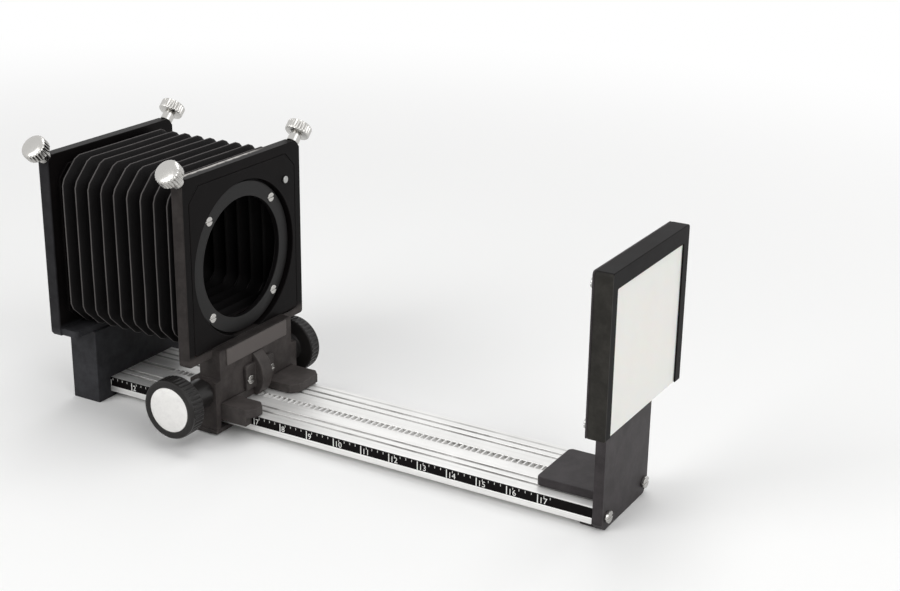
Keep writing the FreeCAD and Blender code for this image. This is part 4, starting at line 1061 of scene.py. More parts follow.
class Finishes(Enum):
    """Every finish of the unit."""

    PAINT = StovedPaint("black_enamel", "black_paint")
    # Castings: greyed patches of grime and painted light from the floor.
    CASTING = CastingPaint("casting_enamel", "black_paint", gloss=0.46, shine=0.14)
    # Front standard: painted light below the lens board and on the near side face, and a
    # painted highlight on the plate's rear top edge.
    FRONT = FrontPaint("front_enamel", "black_paint", board="lens_board")
    # Rear standard: painted light below the camera board and on the near side face.
    REAR = StandardPaint("rear_enamel", "black_paint", dust=(0.044, 0.044, 0.048))
    # Bracket: greyed patches of grime and painted light.
    BRACKET = CastingPaint(
        "bracket_enamel",
        "black_paint",
        gloss=0.46,
        shine=0.14,
        dust=(0.050, 0.044, 0.046),
    )
    # Slide frame: painted light on its near wall.
    COPIER_PAINT = CopierPaint(
        "copier_enamel", "black_paint", dust=(0.040, 0.038, 0.034), gloss=0.44
    )
    RING = TurnedBlack("turned_black_ring", "ring_black")
    RAIL = RailMetal("drawn_aluminium", "bright_aluminium", gloss=0.36, metal=0.5)
    RACK = DrawnAluminium(
        "milled_rack",
        "rack_metal",
        colour=(0.86, 0.855, 0.84),
        shadow=(0.66, 0.655, 0.65),
        stretch=(1200.0, 40.0, 300.0),
        gloss=0.46,
        metal=0.6,
    )
    STRIP = StovedPaint("scale_enamel", "scale_black", gloss=0.34, relief=0.004 * MM)
    LABEL = StovedPaint(
        "label_enamel", "label_metal", colour=(0.125, 0.112, 0.107), gloss=0.38
    )
    CHROME = PlatedMetal("chrome_plate", "chrome")
    STEEL = PlatedMetal(
        "zinc_plated_steel", "screw_steel", colour=(0.42, 0.42, 0.41), gloss=0.30
    )
    BRASS = PlatedMetal(
        "turned_brass",
        "brass",
        colour=(0.72, 0.53, 0.25),
        gloss=0.26,
        grime=(0.25, 0.16, 0.07),
    )
    KNOB = StovedPaint(
        "black_anodised",
        "knob_black",
        colour=(0.015, 0.014, 0.0135),
        gloss=0.32,
        shine=0.22,
        relief=0.003 * MM,
    )
    DISC = SpunDisc("spun_disc", "knob_disc")
    CLOTH = CoatedCloth("bellows_cloth_coating", "bellows_cloth")
    OPAL = OpalSheet("opal_sheet", "opal")
    MARKS = PlainPaint("scale_paint", "scale_black")


# ------------------------------------------------------------------- mesh work


@dataclass(frozen=True)
class Ring:
    """One circle of a lathe profile.

    Attributes:
        radius: Its radius; 0 ends the form in a point on the axis.
        height: Its place along the axis.
        knurl: How deep the grooves cut into it.
    """

    radius: float
    height: float
    knurl: float = 0.0


class Forms:
    """Meshes built point by point.

    Attributes:
        PLAIN_STEPS: How many points there are round a plain turned form.
        GROOVE_STEPS: How many points there are across one knurled groove.
        GROOVE_POWER: How narrow a groove is beside its ridge, 1 for a plain wave.
    """

    PLAIN_STEPS = 144
    GROOVE_STEPS = 8
    GROOVE_POWER = 1.6

    @classmethod
    def turned(cls, profile: Sequence[Ring], grooves: int = 0) -> bmesh.types.BMesh:
        """Turns a profile about the Z axis.

        Args:
            profile: The rings from one end to the other.
            grooves: How many lengthwise grooves go round a knurled ring.

        Returns:
            The closed form.
        """
        steps = grooves * cls.GROOVE_STEPS or cls.PLAIN_STEPS
        form = bmesh.new()
        loops = []
        for ring in profile:
            if ring.radius == 0.0:
                loops.append([form.verts.new((0.0, 0.0, ring.height))])
                continue
            loop = []
            for step in range(steps):
                angle = FULL_TURN * step / steps
                dip = (0.5 + 0.5 * math.cos(angle * grooves)) ** cls.GROOVE_POWER
                radius = ring.radius - ring.knurl * dip
                spot = (radius * math.cos(angle), radius * math.sin(angle), ring.height)
                loop.append(form.verts.new(spot))
            loops.append(loop)
        for low, high in zip(loops, loops[1:]):
            cls.join(form, low, high)
        return form

    @staticmethod
    def join(
        form: bmesh.types.BMesh,
        low: Sequence[bmesh.types.BMVert],
        high: Sequence[bmesh.types.BMVert],
    ) -> None:
        """Joins two rings of points with faces.

        Args:
            form: The form that gets the faces.
            low: The first ring, or a single point.
            high: The second ring, or a single point.
        """
        count = max(len(low), len(high))
        for step in range(count):
            after = (step + 1) % count
            if len(low) == 1:
                form.faces.new((low[0], high[step], high[after]))
            elif len(high) == 1:
                form.faces.new((low[after], low[step], high[0]))
            else:
                form.faces.new((low[after], low[step], high[step], high[after]))

    @staticmethod
    def slab(form: bmesh.types.BMesh, low: Point, high: Point) -> None:
        """Adds a rectangular block to a form.

        Args:
            form: The form that gets the block.
            low: Its lowest corner.
            high: Its highest corner.
        """
        made = bmesh.ops.create_cube(form, size=1.0)["verts"]
        size = Vector(high) - Vector(low)
        middle = (Vector(high) + Vector(low)) / 2
        bmesh.ops.scale(form, vec=size, verts=made)
        bmesh.ops.translate(form, vec=middle, verts=made)

    @staticmethod
    def mesh(
        form: bmesh.types.BMesh, name: str, crease: float = 35.0
    ) -> bpy.types.Mesh:
        """Ends a form as a smooth mesh whose edges stay sharp above an angle.

        Args:
            form: The form, which is freed.
            name: The mesh's name.
            crease: The angle above which an edge is sharp, in degrees.

        Returns:
            The mesh.
        """
        bmesh.ops.recalc_face_normals(form, faces=form.faces)
        mesh = bpy.data.meshes.new(name)
        form.to_mesh(mesh)
        form.free()
        mesh.shade_smooth()
        mesh.set_sharp_from_angle(angle=math.radians(crease))
        return mesh


class Bench:
    """Puts finished pieces on the unit's bodies and keeps count of them.

    Attributes:
        WELD: Points closer than this are one point.
        FLAT: Faces that turn less than this are one flat face, in degrees.
        CREASE: Edges that turn more than this are rounded, in degrees.
        SEGMENTS: How many facets a rounded edge has.
        made: The names of the pieces.
        bodies: The body of each CAD node.
    """

    WELD = 0.001 * MM
    FLAT = 0.6
    CREASE = 33.0
    SEGMENTS = 2

    made: list[str] = []
    bodies: dict[str, str] = {
        node: body
        for body, nodes in frame["record"]["behaviour"]["bodies"].items()
        for node in nodes
    }

    @classmethod
    def place(
        cls,
        name: str,
        mesh: bpy.types.Mesh,
        finish: Finish,
        body: Optional[str] = None,
        stands_for: Sequence[str] = (),
        matrix: Optional[Matrix] = None,
    ) -> bpy.types.Object:
        """Puts a mesh on the unit as a piece.

        Args:
            name: The piece's name.
            mesh: Its mesh.
            finish: Its finish.
            body: The body that it rides on; None leaves it free.
            stands_for: The CAD nodes that it replaces.
            matrix: Where its own frame is, or None for the unit's frame.

        Returns:
            The piece.
        """
        piece = bpy.data.objects.new(name, mesh)
        bpy.context.scene.collection.objects.link(piece)
        mesh.materials.clear()
        mesh.materials.append(finish.material())
        if matrix is not None:
            piece.matrix_world = matrix
        if body is not None:
            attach(piece, body)
        if stands_for:
            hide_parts(*stands_for)
        cls.made.append(name)
        log.info("%s: %d faces, %s", name, len(mesh.polygons), finish.name)
        return piece

    @classmethod
    def flattened(cls, node: str) -> bmesh.types.BMesh:
        """Copies a CAD node with its points welded and its flat faces whole.

        Args:
            node: The node.

        Returns:
            The copy.
        """
        form = bmesh.new()
        form.from_mesh(frame["nodes"][node].data)
        bmesh.ops.remove_doubles(form, verts=form.verts, dist=cls.WELD)
        flat = math.radians(cls.FLAT)
        bmesh.ops.dissolve_limit(
            form, angle_limit=flat, verts=form.verts, edges=form.edges
        )
        form.normal_update()
        form.verts.index_update()
        return form

    @classmethod
    def rounded(cls, form: bmesh.types.BMesh, width: float) -> bpy.types.Mesh:
        """Rounds every edge of a form.

        Args:
            form: The form, which stays as it is.
            width: The width of the rounding.

        Returns:
            The rounded mesh.
        """
        points = [tuple(vertex.co) for vertex in form.verts]
        faces = [[vertex.index for vertex in face.verts] for face in form.faces]
        mesh = bpy.data.meshes.new("sharp")
        mesh.from_pydata(points, [], faces)
        mesh.shade_smooth()
        sharp = bpy.data.objects.new("sharp", mesh)
        bpy.context.scene.collection.objects.link(sharp)
        bevel = sharp.modifiers.new("edges", "BEVEL")
        bevel.width = width
        bevel.segments = cls.SEGMENTS
        bevel.limit_method = "ANGLE"
        bevel.angle_limit = math.radians(cls.CREASE)
        bevel.use_clamp_overlap = False
        bevel.miter_outer = "MITER_ARC"
        bevel.face_strength_mode = "FSTR_ALL"
        flats = sharp.modifiers.new("flats", "WEIGHTED_NORMAL")
        flats.use_face_influence = True
        graph = bpy.context.evaluated_depsgraph_get()
        eased = bpy.data.meshes.new_from_object(sharp.evaluated_get(graph))
        bpy.data.objects.remove(sharp)
        bpy.data.meshes.remove(mesh)
        return eased

    @classmethod
    def ease(cls, finish: Finish, width: float, *nodes: str) -> None:
        """Rounds every edge of CAD nodes and puts them back as pieces.

        Args:
            finish: Their finish.
            width: The width of the rounding, and the furthest that a point goes.
            *nodes: The nodes.
        """
        for node in nodes:
            form = cls.flattened(node)
            surface = BVHTree.FromBMesh(form)
            mesh = cls.rounded(form, width)
            form.free()
            for vertex in mesh.vertices:
                nearest, _, _, away = surface.find_nearest(vertex.co)
                if away > width:
                    vertex.co = nearest
            mesh.name = f"{node}_eased"
            cls.place(mesh.name, mesh, finish, cls.bodies[node], [node])


# ---------------------------------------------------------------- sub-assemblies


@dataclass
class Rail:
    """The flat rail with its rack, tripod bush and scale.

    Attributes:
        edge: Rounding of the rail's long edges.
        fine_edge: Rounding of the rack and the strip.
        bush_edge: Rounding of the tripod bush.
        screw_edge: Rounding of the screws.
        mark_step: Distance between numbered marks.
        first_mark: Where the scale's zero is.
        marks: How many numbers there are.
        parts: How many parts the marks divide a numbered step into.
        extra_marks: How many short marks follow the last number.
        mark_proud: How far the paint stands off the strip.
        mark_sunk: How far it goes into the strip.
        mark_gap: Distance of the marks from the strip's upper edge.
        long_tick: Length of a numbered mark.
        short_tick: Length of a mark between two numbers.
        tick_width: Width of a numbered mark.
        short_width: Width of a short mark.
        digit_height: Height of the numbers.
        type_size: The font's size for numbers of height 1.
        type_curve: How finely the numbers' curves are drawn.
        number_aside: Distance of a number from its mark.
        number_up: Distance of the numbers from the strip's lower edge.
    """

    edge: float = 0.25 * MM
    fine_edge: float = 0.08 * MM
    bush_edge: float = 0.15 * MM
    screw_edge: float = 0.1 * MM
    mark_step: float = 12.7 * MM
    first_mark: float = -1.8 * MM
    marks: int = 17
    parts: int = 5
    extra_marks: int = 2
    mark_proud: float = 0.03 * MM
    mark_sunk: float = 0.05 * MM
    mark_gap: float = 0.2 * MM
    long_tick: float = 3.4 * MM
    short_tick: float = 0.9 * MM
    tick_width: float = 0.42 * MM
    short_width: float = 0.21 * MM
    digit_height: float = 2.45 * MM
    type_size: float = 1.38
    type_curve: int = 3
    number_aside: float = 0.6 * MM
    number_up: float = 0.45 * MM

    def build(self) -> None:
        """Builds the rail's pieces."""
        Bench.ease(Finishes.RAIL.value, self.edge, "rail")
        Bench.ease(Finishes.RACK.value, self.fine_edge, "rail_rack")
        Bench.ease(Finishes.STRIP.value, self.fine_edge, "scale_strip")
        Bench.ease(Finishes.STEEL.value, self.bush_edge, "tripod_bush")
        Bench.ease(Finishes.CHROME.value, self.screw_edge, "rail_end_screws")
        self.build_ticks()
        self.build_numbers()

    def build_ticks(self) -> None:
        """Builds the long and short marks of the scale."""
        low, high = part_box("scale_strip")
        form = bmesh.new()
        top = high.z - self.mark_gap
        for step in range(1, self.marks * self.parts + self.extra_marks + 1):
            along = self.first_mark + self.mark_step * step / self.parts
            numbered = step % self.parts == 0
            reach = self.long_tick if numbered else self.short_tick
            width = self.tick_width if numbered else self.short_width
            Forms.slab(
                form,
                (along - width / 2, low.y - self.mark_proud, top - reach),
                (along + width / 2, low.y + self.mark_sunk, top),
            )
        mesh = Forms.mesh(form, "scale_marks")
        Bench.place("scale_marks", mesh, Finishes.MARKS.value, Body.ROOT.value)

    def build_numbers(self) -> None:
        """Builds the plain numbers beside the long marks."""
        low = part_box("scale_strip")[0]
        upright = Matrix.Rotation(math.pi / 2, 4, "X")
        whole = bmesh.new()
        for number in range(1, self.marks + 1):
            curve = bpy.data.curves.new("number", "FONT")
            curve.body = str(number)
            curve.size = self.digit_height * self.type_size
            curve.extrude = self.mark_proud
            curve.resolution_u = self.type_curve
            written = bpy.data.objects.new("number", curve)
            bpy.context.scene.collection.objects.link(written)
            graph = bpy.context.evaluated_depsgraph_get()
            mesh = bpy.data.meshes.new_from_object(written.evaluated_get(graph))
            along = self.first_mark + self.mark_step * number + self.number_aside
            spot = Vector((along, low.y, low.z + self.number_up))
            mesh.transform(Matrix.Translation(spot) @ upright)
            whole.from_mesh(mesh)
            bpy.data.objects.remove(written)
            bpy.data.curves.remove(curve)
            bpy.data.meshes.remove(mesh)
        mesh = Forms.mesh(whole, "scale_numbers")
        Bench.place("scale_numbers", mesh, Finishes.MARKS.value, Body.ROOT.value)


@dataclass
class Standards:
    """The two upright castings with their lens and camera boards.

    Attributes:
        casting_edge: Rounding of the castings' edges.
        board_edge: Rounding of the boards' edges.
        ring_edge: Rounding of the flange rings.
        frame_edge: Rounding of the bellows' end frames.
        pin_edge: Rounding of the pin.
        screw_edge: Rounding of the screws.
    """

    casting_edge: float = 0.35 * MM
    board_edge: float = 0.30 * MM
    ring_edge: float = 0.22 * MM
    frame_edge: float = 0.2 * MM
    pin_edge: float = 0.15 * MM
    screw_edge: float = 0.1 * MM

    def build(self) -> None:
        """Builds both standards."""
        paint = Finishes.PAINT.value
        ring = Finishes.RING.value
        chrome = Finishes.CHROME.value
        steel = Finishes.STEEL.value
        Bench.ease(Finishes.FRONT.value, self.casting_edge, "front_standard")
        Bench.ease(Finishes.REAR.value, self.casting_edge, "rear_standard")
        Bench.ease(paint, self.board_edge, "camera_board", "lens_board")
        Bench.ease(ring, self.ring_edge, "camera_flange_ring", "lens_flange_ring")
        Bench.ease(chrome, self.screw_edge, "camera_ring_screws", "lens_ring_screws")
        Bench.ease(steel, self.pin_edge, "lens_board_pin")
        Bench.ease(steel, self.screw_edge, "rear_leg_screws")
        Bench.ease(
            paint, self.frame_edge, "bellows_rear_frame", "bellows_front_frame"
        )


@dataclass
class Carriage:
    """The saddle, jaws and gear cover under the front standard.

    Attributes:
        edge: Rounding of the saddle and the cover.
        jaw_edge: Rounding of the jaws.
        plate_edge: Rounding of the label plate and the bushes.
        screw_edge: Rounding of the screws.
    """

    edge: float = 0.35 * MM
    jaw_edge: float = 0.2 * MM
    plate_edge: float = 0.15 * MM
    screw_edge: float = 0.1 * MM

    def build(self) -> None:
        """Builds the carriage's pieces."""
        casting = Finishes.CASTING.value
        steel = Finishes.STEEL.value
        Bench.ease(casting, self.edge, "saddle", "gear_cover")
        Bench.ease(casting, self.jaw_edge, "rail_jaw_near", "rail_jaw_far")
        Bench.ease(Finishes.LABEL.value, self.plate_edge, "label_plate")
        Bench.ease(Finishes.RING.value, self.plate_edge, "shaft_bushes")
        Bench.ease(Finishes.CHROME.value, self.screw_edge, "gear_cover_screws")
        Bench.ease(steel, self.screw_edge, "saddle_screws", "jaw_screws")


@dataclass
class FocusDrive:
    """The pinion shaft and its two knurled knobs.

    Attributes:
        rim: Radius of the knobs.
        hub: Radius of the hubs.
        grooves: How many grooves go round a rim.
        knurl: How deep they are.
        near_hub: Length of the near knob's hub.
        near_rim: Length of the near knob's rim.
        far_hub: Length of the far knob's hub.
        far_rim: Length of the far knob's rim.
        disc: Radius of the bright disc.
        disc_thick: Its thickness.
        disc_room: Play round the disc.
        start: Distance of a hub's inner end from the middle.
        shaft_edge: Rounding of the shaft.
        gear_edge: Rounding of the pinion and the set screws.
    """

    rim: float = 12.1 * MM
    hub: float = 6.0 * MM
    grooves: int = 40
    knurl: float = 0.45 * MM
    near_hub: float = 12.9 * MM
    near_rim: float = 7.5 * MM
    far_hub: float = 2.9 * MM
    far_rim: float = 6.0 * MM
    disc: float = 9.15 * MM
    disc_thick: float = 0.8 * MM
    disc_room: float = 0.12 * MM
    start: float = 28.1 * MM
    shaft_edge: float = 0.2 * MM
    gear_edge: float = 0.08 * MM

    def build(self) -> None:
        """Builds the drive's pieces."""
        self.build_knob(Side.NEAR, self.near_hub, self.near_rim)
        self.build_knob(Side.FAR, self.far_hub, self.far_rim)
        Bench.ease(Finishes.BRASS.value, self.gear_edge, "pinion_gear")
        Bench.ease(Finishes.STEEL.value, self.shaft_edge, "pinion_shaft")
        Bench.ease(Finishes.STEEL.value, self.gear_edge, "knob_grub_screws")

    def matrix(self, side: Side) -> Matrix:
        """Finds the frame of a knob, with Z along the shaft away from the rail.

        Args:
            side: Which side the knob is on.

        Returns:
            The frame.
        """
        low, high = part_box("pinion_shaft")
        middle = (low + high) / 2
        turn = Matrix.Rotation(-side.value * math.pi / 2, 4, "X")
        spot = Vector((middle.x, side.value * self.start, middle.z))
        return Matrix.Translation(spot) @ turn

    def build_knob(self, side: Side, hub: float, rim: float) -> None:
        """Builds a knob and its disc.

        Args:
            side: Which side it is on.
            hub: The length of its hub.
            rim: The length of its rim.
        """
        end = hub + rim
        deep = self.knurl
        seat = end - self.disc_thick
        lip = self.disc + self.disc_room
        profile = [
            Ring(0.0, 0.0),
            Ring(self.hub - 0.5 * MM, 0.0),
            Ring(self.hub - 0.1 * MM, 0.12 * MM),
            Ring(self.hub, 0.5 * MM),
            Ring(self.hub, hub - 0.9 * MM),
            Ring(self.hub + 0.3 * MM, hub - 0.25 * MM),
            Ring(self.hub + 1.0 * MM, hub),
            Ring(self.rim - 1.2 * MM, hub),
            Ring(self.rim - 0.7 * MM, hub + 0.08 * MM),
            Ring(self.rim - 0.25 * MM, hub + 0.40 * MM),
            Ring(self.rim - 0.02 * MM, hub + 0.75 * MM, deep * 0.55),
            Ring(self.rim, hub + 1.0 * MM, deep),
            Ring(self.rim, end - 1.9 * MM, deep),
            Ring(self.rim - 0.02 * MM, end - 1.65 * MM, deep * 0.55),
            Ring(self.rim - 0.18 * MM, end - 1.35 * MM),
            Ring(self.rim - 0.10 * MM, end - 1.15 * MM),
            Ring(self.rim - 0.12 * MM, end - 0.55 * MM),
            Ring(self.rim - 0.45 * MM, end - 0.12 * MM),
            Ring(self.rim - 0.85 * MM, end),
            Ring(lip + 0.25 * MM, end),
            Ring(lip + 0.02 * MM, end - 0.15 * MM),
            Ring(lip, seat),
            Ring(0.0, seat),
        ]
        matrix = self.matrix(side)
        name = f"{side.name.lower()}_knob"
        node = f"focus_knob_{side.name.lower()}"
        mesh = Forms.mesh(Forms.turned(profile, self.grooves), name)
        Bench.place(name, mesh, Finishes.KNOB.value, Body.DRIVE.value, [node], matrix)
        face = [
            Ring(0.0, seat + 0.02 * MM),
            Ring(self.disc, seat + 0.02 * MM),
            Ring(self.disc, end - 0.30 * MM),
            Ring(self.disc - 0.10 * MM, end - 0.16 * MM),
            Ring(self.disc - 0.40 * MM, end - 0.08 * MM),
            Ring(self.disc * 0.55, end - 0.02 * MM),
            Ring(0.0, end - 0.01 * MM),
        ]
        name = f"{side.name.lower()}_knob_disc"
        node = f"knob_face_{side.name.lower()}"
        mesh = Forms.mesh(Forms.turned(face), name)
        Bench.place(name, mesh, Finishes.DISC.value, Body.DRIVE.value, [node], matrix)


@dataclass
class Thumbscrews:
    """The four knurled screws that clamp the boards.

    Attributes:
        seat_across: Distance of a screw's seat from the middle.
        seat_height: Height of the seats over the axis.
        shank: Radius of the shank.
        collar: Radius of the collar.
        head: Radius of the head.
        gap: Collar above its seat.
        collar_length: Length of the collar.
        head_length: Length of the head.
        grooves: How many grooves go round a head.
        knurl: How deep they are.
    """

    seat_across: float = 36.5 * MM
    seat_height: float = 39.2 * MM
    shank: float = 1.5 * MM
    collar: float = 2.6 * MM
    head: float = 5.3 * MM
    gap: float = 0.1 * MM
    collar_length: float = 4.2 * MM
    head_length: float = 5.0 * MM
    grooves: int = 24
    knurl: float = 0.45 * MM

    def build(self) -> None:
        """Builds the four screws."""
        for end in ("rear", "front"):
            for side in Side:
                self.build_screw(end, side)

    def build_screw(self, end: str, side: Side) -> None:
        """Builds one screw.

        Args:
            end: The standard that it is in.
            side: Which side it is on.
        """
        body = f"{end}_thumbscrew_{side.name.lower()}"
        low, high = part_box(body)
        spot = Vector(
            ((low.x + high.x) / 2, side.value * self.seat_across, self.seat_height)
        )
        turn = Matrix.Rotation(-side.value * math.pi / 4, 4, "X")
        foot = self.gap
        under = foot + self.collar_length
        top = under + self.head_length
        reach = (high.z - low.z) * math.sqrt(2) - top - self.head
        deep = self.knurl
        head = self.head
        profile = [
            Ring(0.0, -reach),
            Ring(self.shank - 0.3 * MM, -reach),
            Ring(self.shank, -reach + 0.3 * MM),
            Ring(self.shank, foot),
            Ring(self.collar - 0.15 * MM, foot),
            Ring(self.collar, foot + 0.15 * MM),
            Ring(self.collar, under - 0.9 * MM),
            Ring(self.collar - 0.45 * MM, under - 0.65 * MM),
            Ring(self.collar - 0.45 * MM, under - 0.3 * MM),
            Ring(self.collar, under),
            Ring(head - 0.9 * MM, under),
            Ring(head - 0.35 * MM, under + 0.12 * MM),
            Ring(head - 0.05 * MM, under + 0.45 * MM, deep * 0.5),
            Ring(head, under + 0.7 * MM, deep),
            Ring(head, top - 1.25 * MM, deep),
            Ring(head - 0.05 * MM, top - 1.0 * MM, deep * 0.5),
            Ring(head - 0.35 * MM, top - 0.62 * MM),
            Ring(head - 0.95 * MM, top - 0.28 * MM),
            Ring(head - 2.2 * MM, top - 0.08 * MM),
            Ring(0.0, top),
        ]
        name = f"{end}_{side.name.lower()}_clamp_screw"
        mesh = Forms.mesh(Forms.turned(profile, self.grooves), name)
        matrix = Matrix.Translation(spot) @ turn
        Bench.place(name, mesh, Finishes.CHROME.value, body, [body], matrix)


@dataclass
class Bellows:
    """The square bellows of coated cloth.

    Attributes:
        pleats: How many folds there are.
        ridge: Half the side of an outer fold.
        ridge_cut: The corner cut of an outer fold.
        valley: Half the side of an inner fold.
        valley_cut: The corner cut of an inner fold.
        cloth: Radial thickness of the cloth.
        ripple: How uneven the cloth is.
        FOLD_MARK: The name of the attribute that is 1 on an outer fold.
        PROFILE: Shares of a pleat along the axis, and the fold's height there.
        ALONG_SIDE: Shares of a flat side at which it has points.
        ALONG_CORNER: Shares of a cut corner at which it has points.
        WAVES: How many ripples a metre holds along X, Y and Z.
        SETTLING: How quickly the ripples start beside an end.
        SEED: The seed of the ripples, which makes every run the same.
    """

    pleats: int = 9
    ridge: float = 35.4 * MM
    ridge_cut: float = 9.0 * MM
    valley: float = 29.4 * MM
    valley_cut: float = 3.0 * MM
    cloth: float = 0.9 * MM
    ripple: float = 0.16 * MM

    FOLD_MARK = "fold"
    PROFILE = (
        (0.000, 0.00),
        (0.045, 0.03),
        (0.130, 0.27),
        (0.250, 0.53),
        (0.370, 0.79),
        (0.455, 0.97),
        (0.500, 1.00),
        (0.545, 0.97),
        (0.630, 0.79),
        (0.750, 0.53),
        (0.870, 0.27),
        (0.955, 0.03),
    )
    ALONG_SIDE = (0.03, 0.12, 0.3, 0.5, 0.7, 0.88, 0.97)
    ALONG_CORNER = (0.12, 0.5, 0.88)
    WAVES = (90.0, 45.0, 45.0)
    SETTLING = 8.0
    SEED = 7

    def section(self, rise: float, inward: float) -> list[tuple[float, float]]:
        """Finds the points round one section.

        Args:
            rise: 0 for an inner fold, 1 for an outer fold.
            inward: How far the section is moved inwards.

        Returns:
            The points across and up.
        """
        half = self.valley + (self.ridge - self.valley) * rise - inward
        cut = self.valley_cut + (self.ridge_cut - self.valley_cut) * rise
        flat = half - cut
        corners = [(half, -flat), (half, flat), (flat, half), (-flat, half)]
        corners += [(-a, -b) for a, b in corners]
        points = []
        for side, (start, end) in enumerate(zip(corners, corners[1:] + corners[:1])):
            shares = self.ALONG_CORNER if side % 2 else self.ALONG_SIDE
            for share in shares:
                points.append(tuple(a + (b - a) * share for a, b in zip(start, end)))
        return points

    def build(self) -> None:
        """Builds the bellows between the two standards."""
        noise.seed_set(self.SEED)
        low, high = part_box("bellows")
        centre = (low.z + high.z) / 2
        pitch = (high.x - low.x) / self.pleats
        form = bmesh.new()
        mark = form.verts.layers.float.new(self.FOLD_MARK)
        stations = [
            (low.x + pitch * (pleat + share), rise)
            for pleat in range(self.pleats)
            for share, rise in self.PROFILE
        ]
        stations.append((high.x, 0.0))
        loops = []
        for inward in (0.0, self.cloth):
            shell = []
            for along, rise in stations:
                loop = []
                for across, up in self.section(rise, inward):
                    spot = Vector((along, across, centre + up))
                    loop.append(form.verts.new(self.settle(spot, low.x, high.x)))
                    loop[-1][mark] = rise
                shell.append(loop)
            loops.append(shell)
        for shell in loops:
            for first, second in zip(shell, shell[1:]):
                Forms.join(form, first, second)
        for end in (0, -1):
            Forms.join(form, loops[0][end], loops[1][end])
        name = "pleated_cloth"
        mesh = Forms.mesh(form, name, 180.0)
        piece = Bench.place(name, mesh, Finishes.CLOTH.value, None, ["bellows"])
        start, end = (low.x, 0.0, centre), (high.x, 0.0, centre)
        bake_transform(piece)

    def settle(self, spot: Vector, first: float, last: float) -> Vector:
        """Moves a point a little, as cloth lies, and not at the two ends.

        Args:
            spot: The point.
            first: Where the cloth starts, along the rail.
            last: Where it ends.

        Returns:
            The moved point.
        """
        share = (spot.x - first) / (last - first)
        free = min(1.0, self.SETTLING * share * (1.0 - share))
        swing = noise.noise_vector(spot * Vector(self.WAVES))
        return spot + swing * self.ripple * free


@dataclass
class SlideCopier:
    """The bracket, slide frame and opal screen on the rail's end.

    Attributes:
        edge: Rounding of the bracket and the frame.
        sheet_edge: Rounding of the opal sheet.
        spring_edge: Rounding of the springs.
        screw_edge: Rounding of the screws.
    """

    edge: float = 0.35 * MM
    sheet_edge: float = 0.15 * MM
    spring_edge: float = 0.06 * MM
    screw_edge: float = 0.1 * MM

    def build(self) -> None:
        """Builds the copier's pieces."""
        Bench.ease(Finishes.BRACKET.value, self.edge, "copier_bracket")
        Bench.ease(Finishes.COPIER_PAINT.value, self.edge, "slide_frame")
        Bench.ease(Finishes.OPAL.value, self.sheet_edge, "opal_diffuser")
        Bench.ease(Finishes.STEEL.value, self.spring_edge, "slide_springs")
        Bench.ease(Finishes.STEEL.value, self.screw_edge, "slide_frame_screws")


# ---------------------------------------------------------------------- studio


@dataclass
class Lamp:
    """A soft square lamp.

    Attributes:
        name: Its name.
        spot: Where it is.
        side: The side of the square.
        power: Its power in watts.
    """

    name: str
    spot: Point
    side: float
    power: float

    def build(self, target: Vector) -> None:
        """Hangs the lamp and turns it to a target.

        Args:
            target: The point that it shines at.
        """
        light = bpy.data.lights.new(self.name, "AREA")
        light.shape = "SQUARE"
        light.size = self.side
        light.energy = self.power
        lamp = bpy.data.objects.new(self.name, light)
        bpy.context.scene.collection.objects.link(lamp)
        lamp.location = self.spot
        aim = target - lamp.location
        lamp.rotation_euler = aim.to_track_quat("-Z", "Y").to_euler()


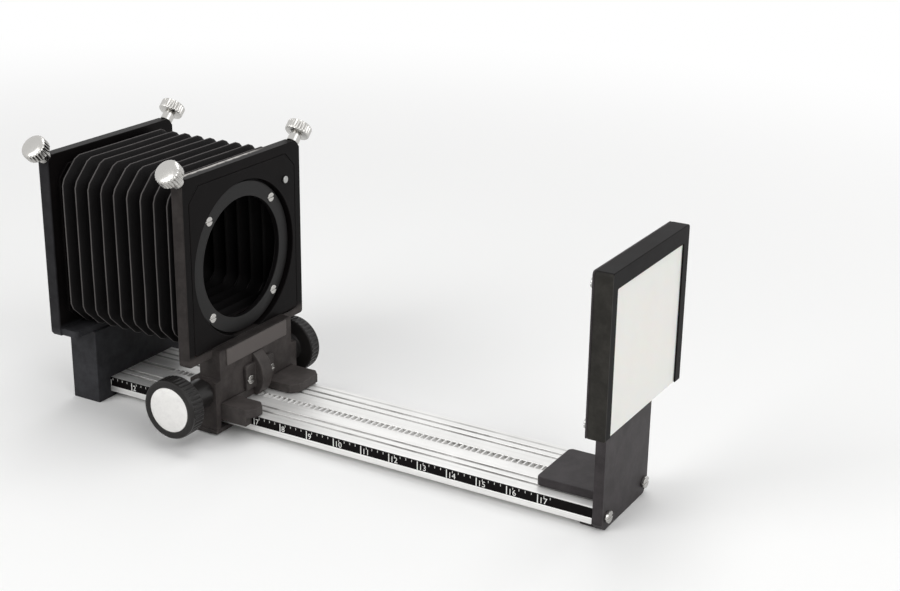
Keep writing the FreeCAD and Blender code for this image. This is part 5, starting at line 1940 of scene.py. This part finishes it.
@dataclass
class Studio:
    """Pale floor, white surroundings, soft lamps and the camera.

    Attributes:
        floor_reach: Half the side of the floor.
        lens: Focal length of the camera in millimetres.
        sensor: Width of its sensor in millimetres.
        clip: The nearest and the furthest that it sees.
        spot: Where the camera is.
        forward: Where it looks.
        upward: Its upright.
        ambient: Strength of the light from all round.
        lamps: The lamps.
    """

    floor_reach: float = 6.0
    lens: float = 62.578
    sensor: float = 36.0
    clip: tuple[float, float] = (0.01, 50.0)
    spot: Point = (0.43794, -0.474125, 0.202334)
    forward: Point = (-0.46870893, 0.81389139, -0.34335514)
    upward: Point = (-0.18403945, 0.29019287, 0.93910467)
    ambient: float = 0.34
    lamps: tuple[Lamp, ...] = (
        Lamp("window", (-0.4, -1.2, 0.9), 1.0, 9.5),
        Lamp("fill", (1.3, -0.4, 0.8), 1.2, 8.0),
        Lamp("top", (0.1, 0.5, 1.5), 1.2, 10.0),
    )

    def build(self) -> None:
        """Builds the studio."""
        self.build_floor()
        self.build_world()
        target = (CAD_BOX[0] + CAD_BOX[1]) / 2
        for lamp in self.lamps:
            lamp.build(target)
        self.build_camera()
        bpy.context.scene.view_settings.view_transform = "Standard"

    def build_floor(self) -> None:
        """Lays the floor under the object's lowest point."""
        reach, level = self.floor_reach, CAD_BOX[0].z
        form = bmesh.new()
        corners = ((-reach, -reach), (reach, -reach), (reach, reach), (-reach, reach))
        form.faces.new([form.verts.new((x, y, level)) for x, y in corners])
        mesh = bpy.data.meshes.new("floor")
        form.to_mesh(mesh)
        form.free()
        floor = bpy.data.objects.new("floor", mesh)
        bpy.context.scene.collection.objects.link(floor)
        mesh.materials.append(Ground("pale_floor", "").material())

    def build_world(self) -> None:
        """Makes the surroundings white where they are seen, and dimmer as light."""
        world = bpy.data.worlds.new("surroundings")
        bpy.context.scene.world = world
        graph = Graph(world)
        strength = graph.node(
            "ShaderNodeMapRange",
            None,
            {"Value": graph.shown(), "To Min": self.ambient, "To Max": 1.0},
        )
        white = (1.0, 1.0, 1.0, 1.0)
        light = graph.node(
            "ShaderNodeBackground", None, {"Color": white, "Strength": strength}
        )
        graph.node("ShaderNodeOutputWorld", None, {"Surface": light})

    def build_camera(self) -> None:
        """Sets up the camera."""
        data = bpy.data.cameras.new("camera")
        data.lens = self.lens
        data.sensor_width = self.sensor
        data.clip_start, data.clip_end = self.clip
        camera = bpy.data.objects.new("camera", data)
        bpy.context.scene.collection.objects.link(camera)
        back = -Vector(self.forward).normalized()
        right = Vector(self.upward).cross(back).normalized()
        upward = back.cross(right)
        turn = Matrix((right, upward, back)).transposed().to_4x4()
        camera.matrix_world = Matrix.Translation(Vector(self.spot)) @ turn
        bpy.context.scene.camera = camera


def main() -> None:
    """Builds and dresses the unit, then the studio round it."""
    logging.basicConfig(level=logging.INFO, format="%(name)s %(message)s")
    assemblies = (
        Rail(),
        Standards(),
        Carriage(),
        FocusDrive(),
        Thumbscrews(),
        Bellows(),
        SlideCopier(),
        Studio(),
    )
    for assembly in assemblies:
        assembly.build()
    shapes = frame["nodes"].items()
    bare = sorted(node for node, shape in shapes if not shape.hide_render)
    log.info("%d pieces; nodes without a finish: %s", len(Bench.made), bare)


if __name__ == "__main__":
    main()
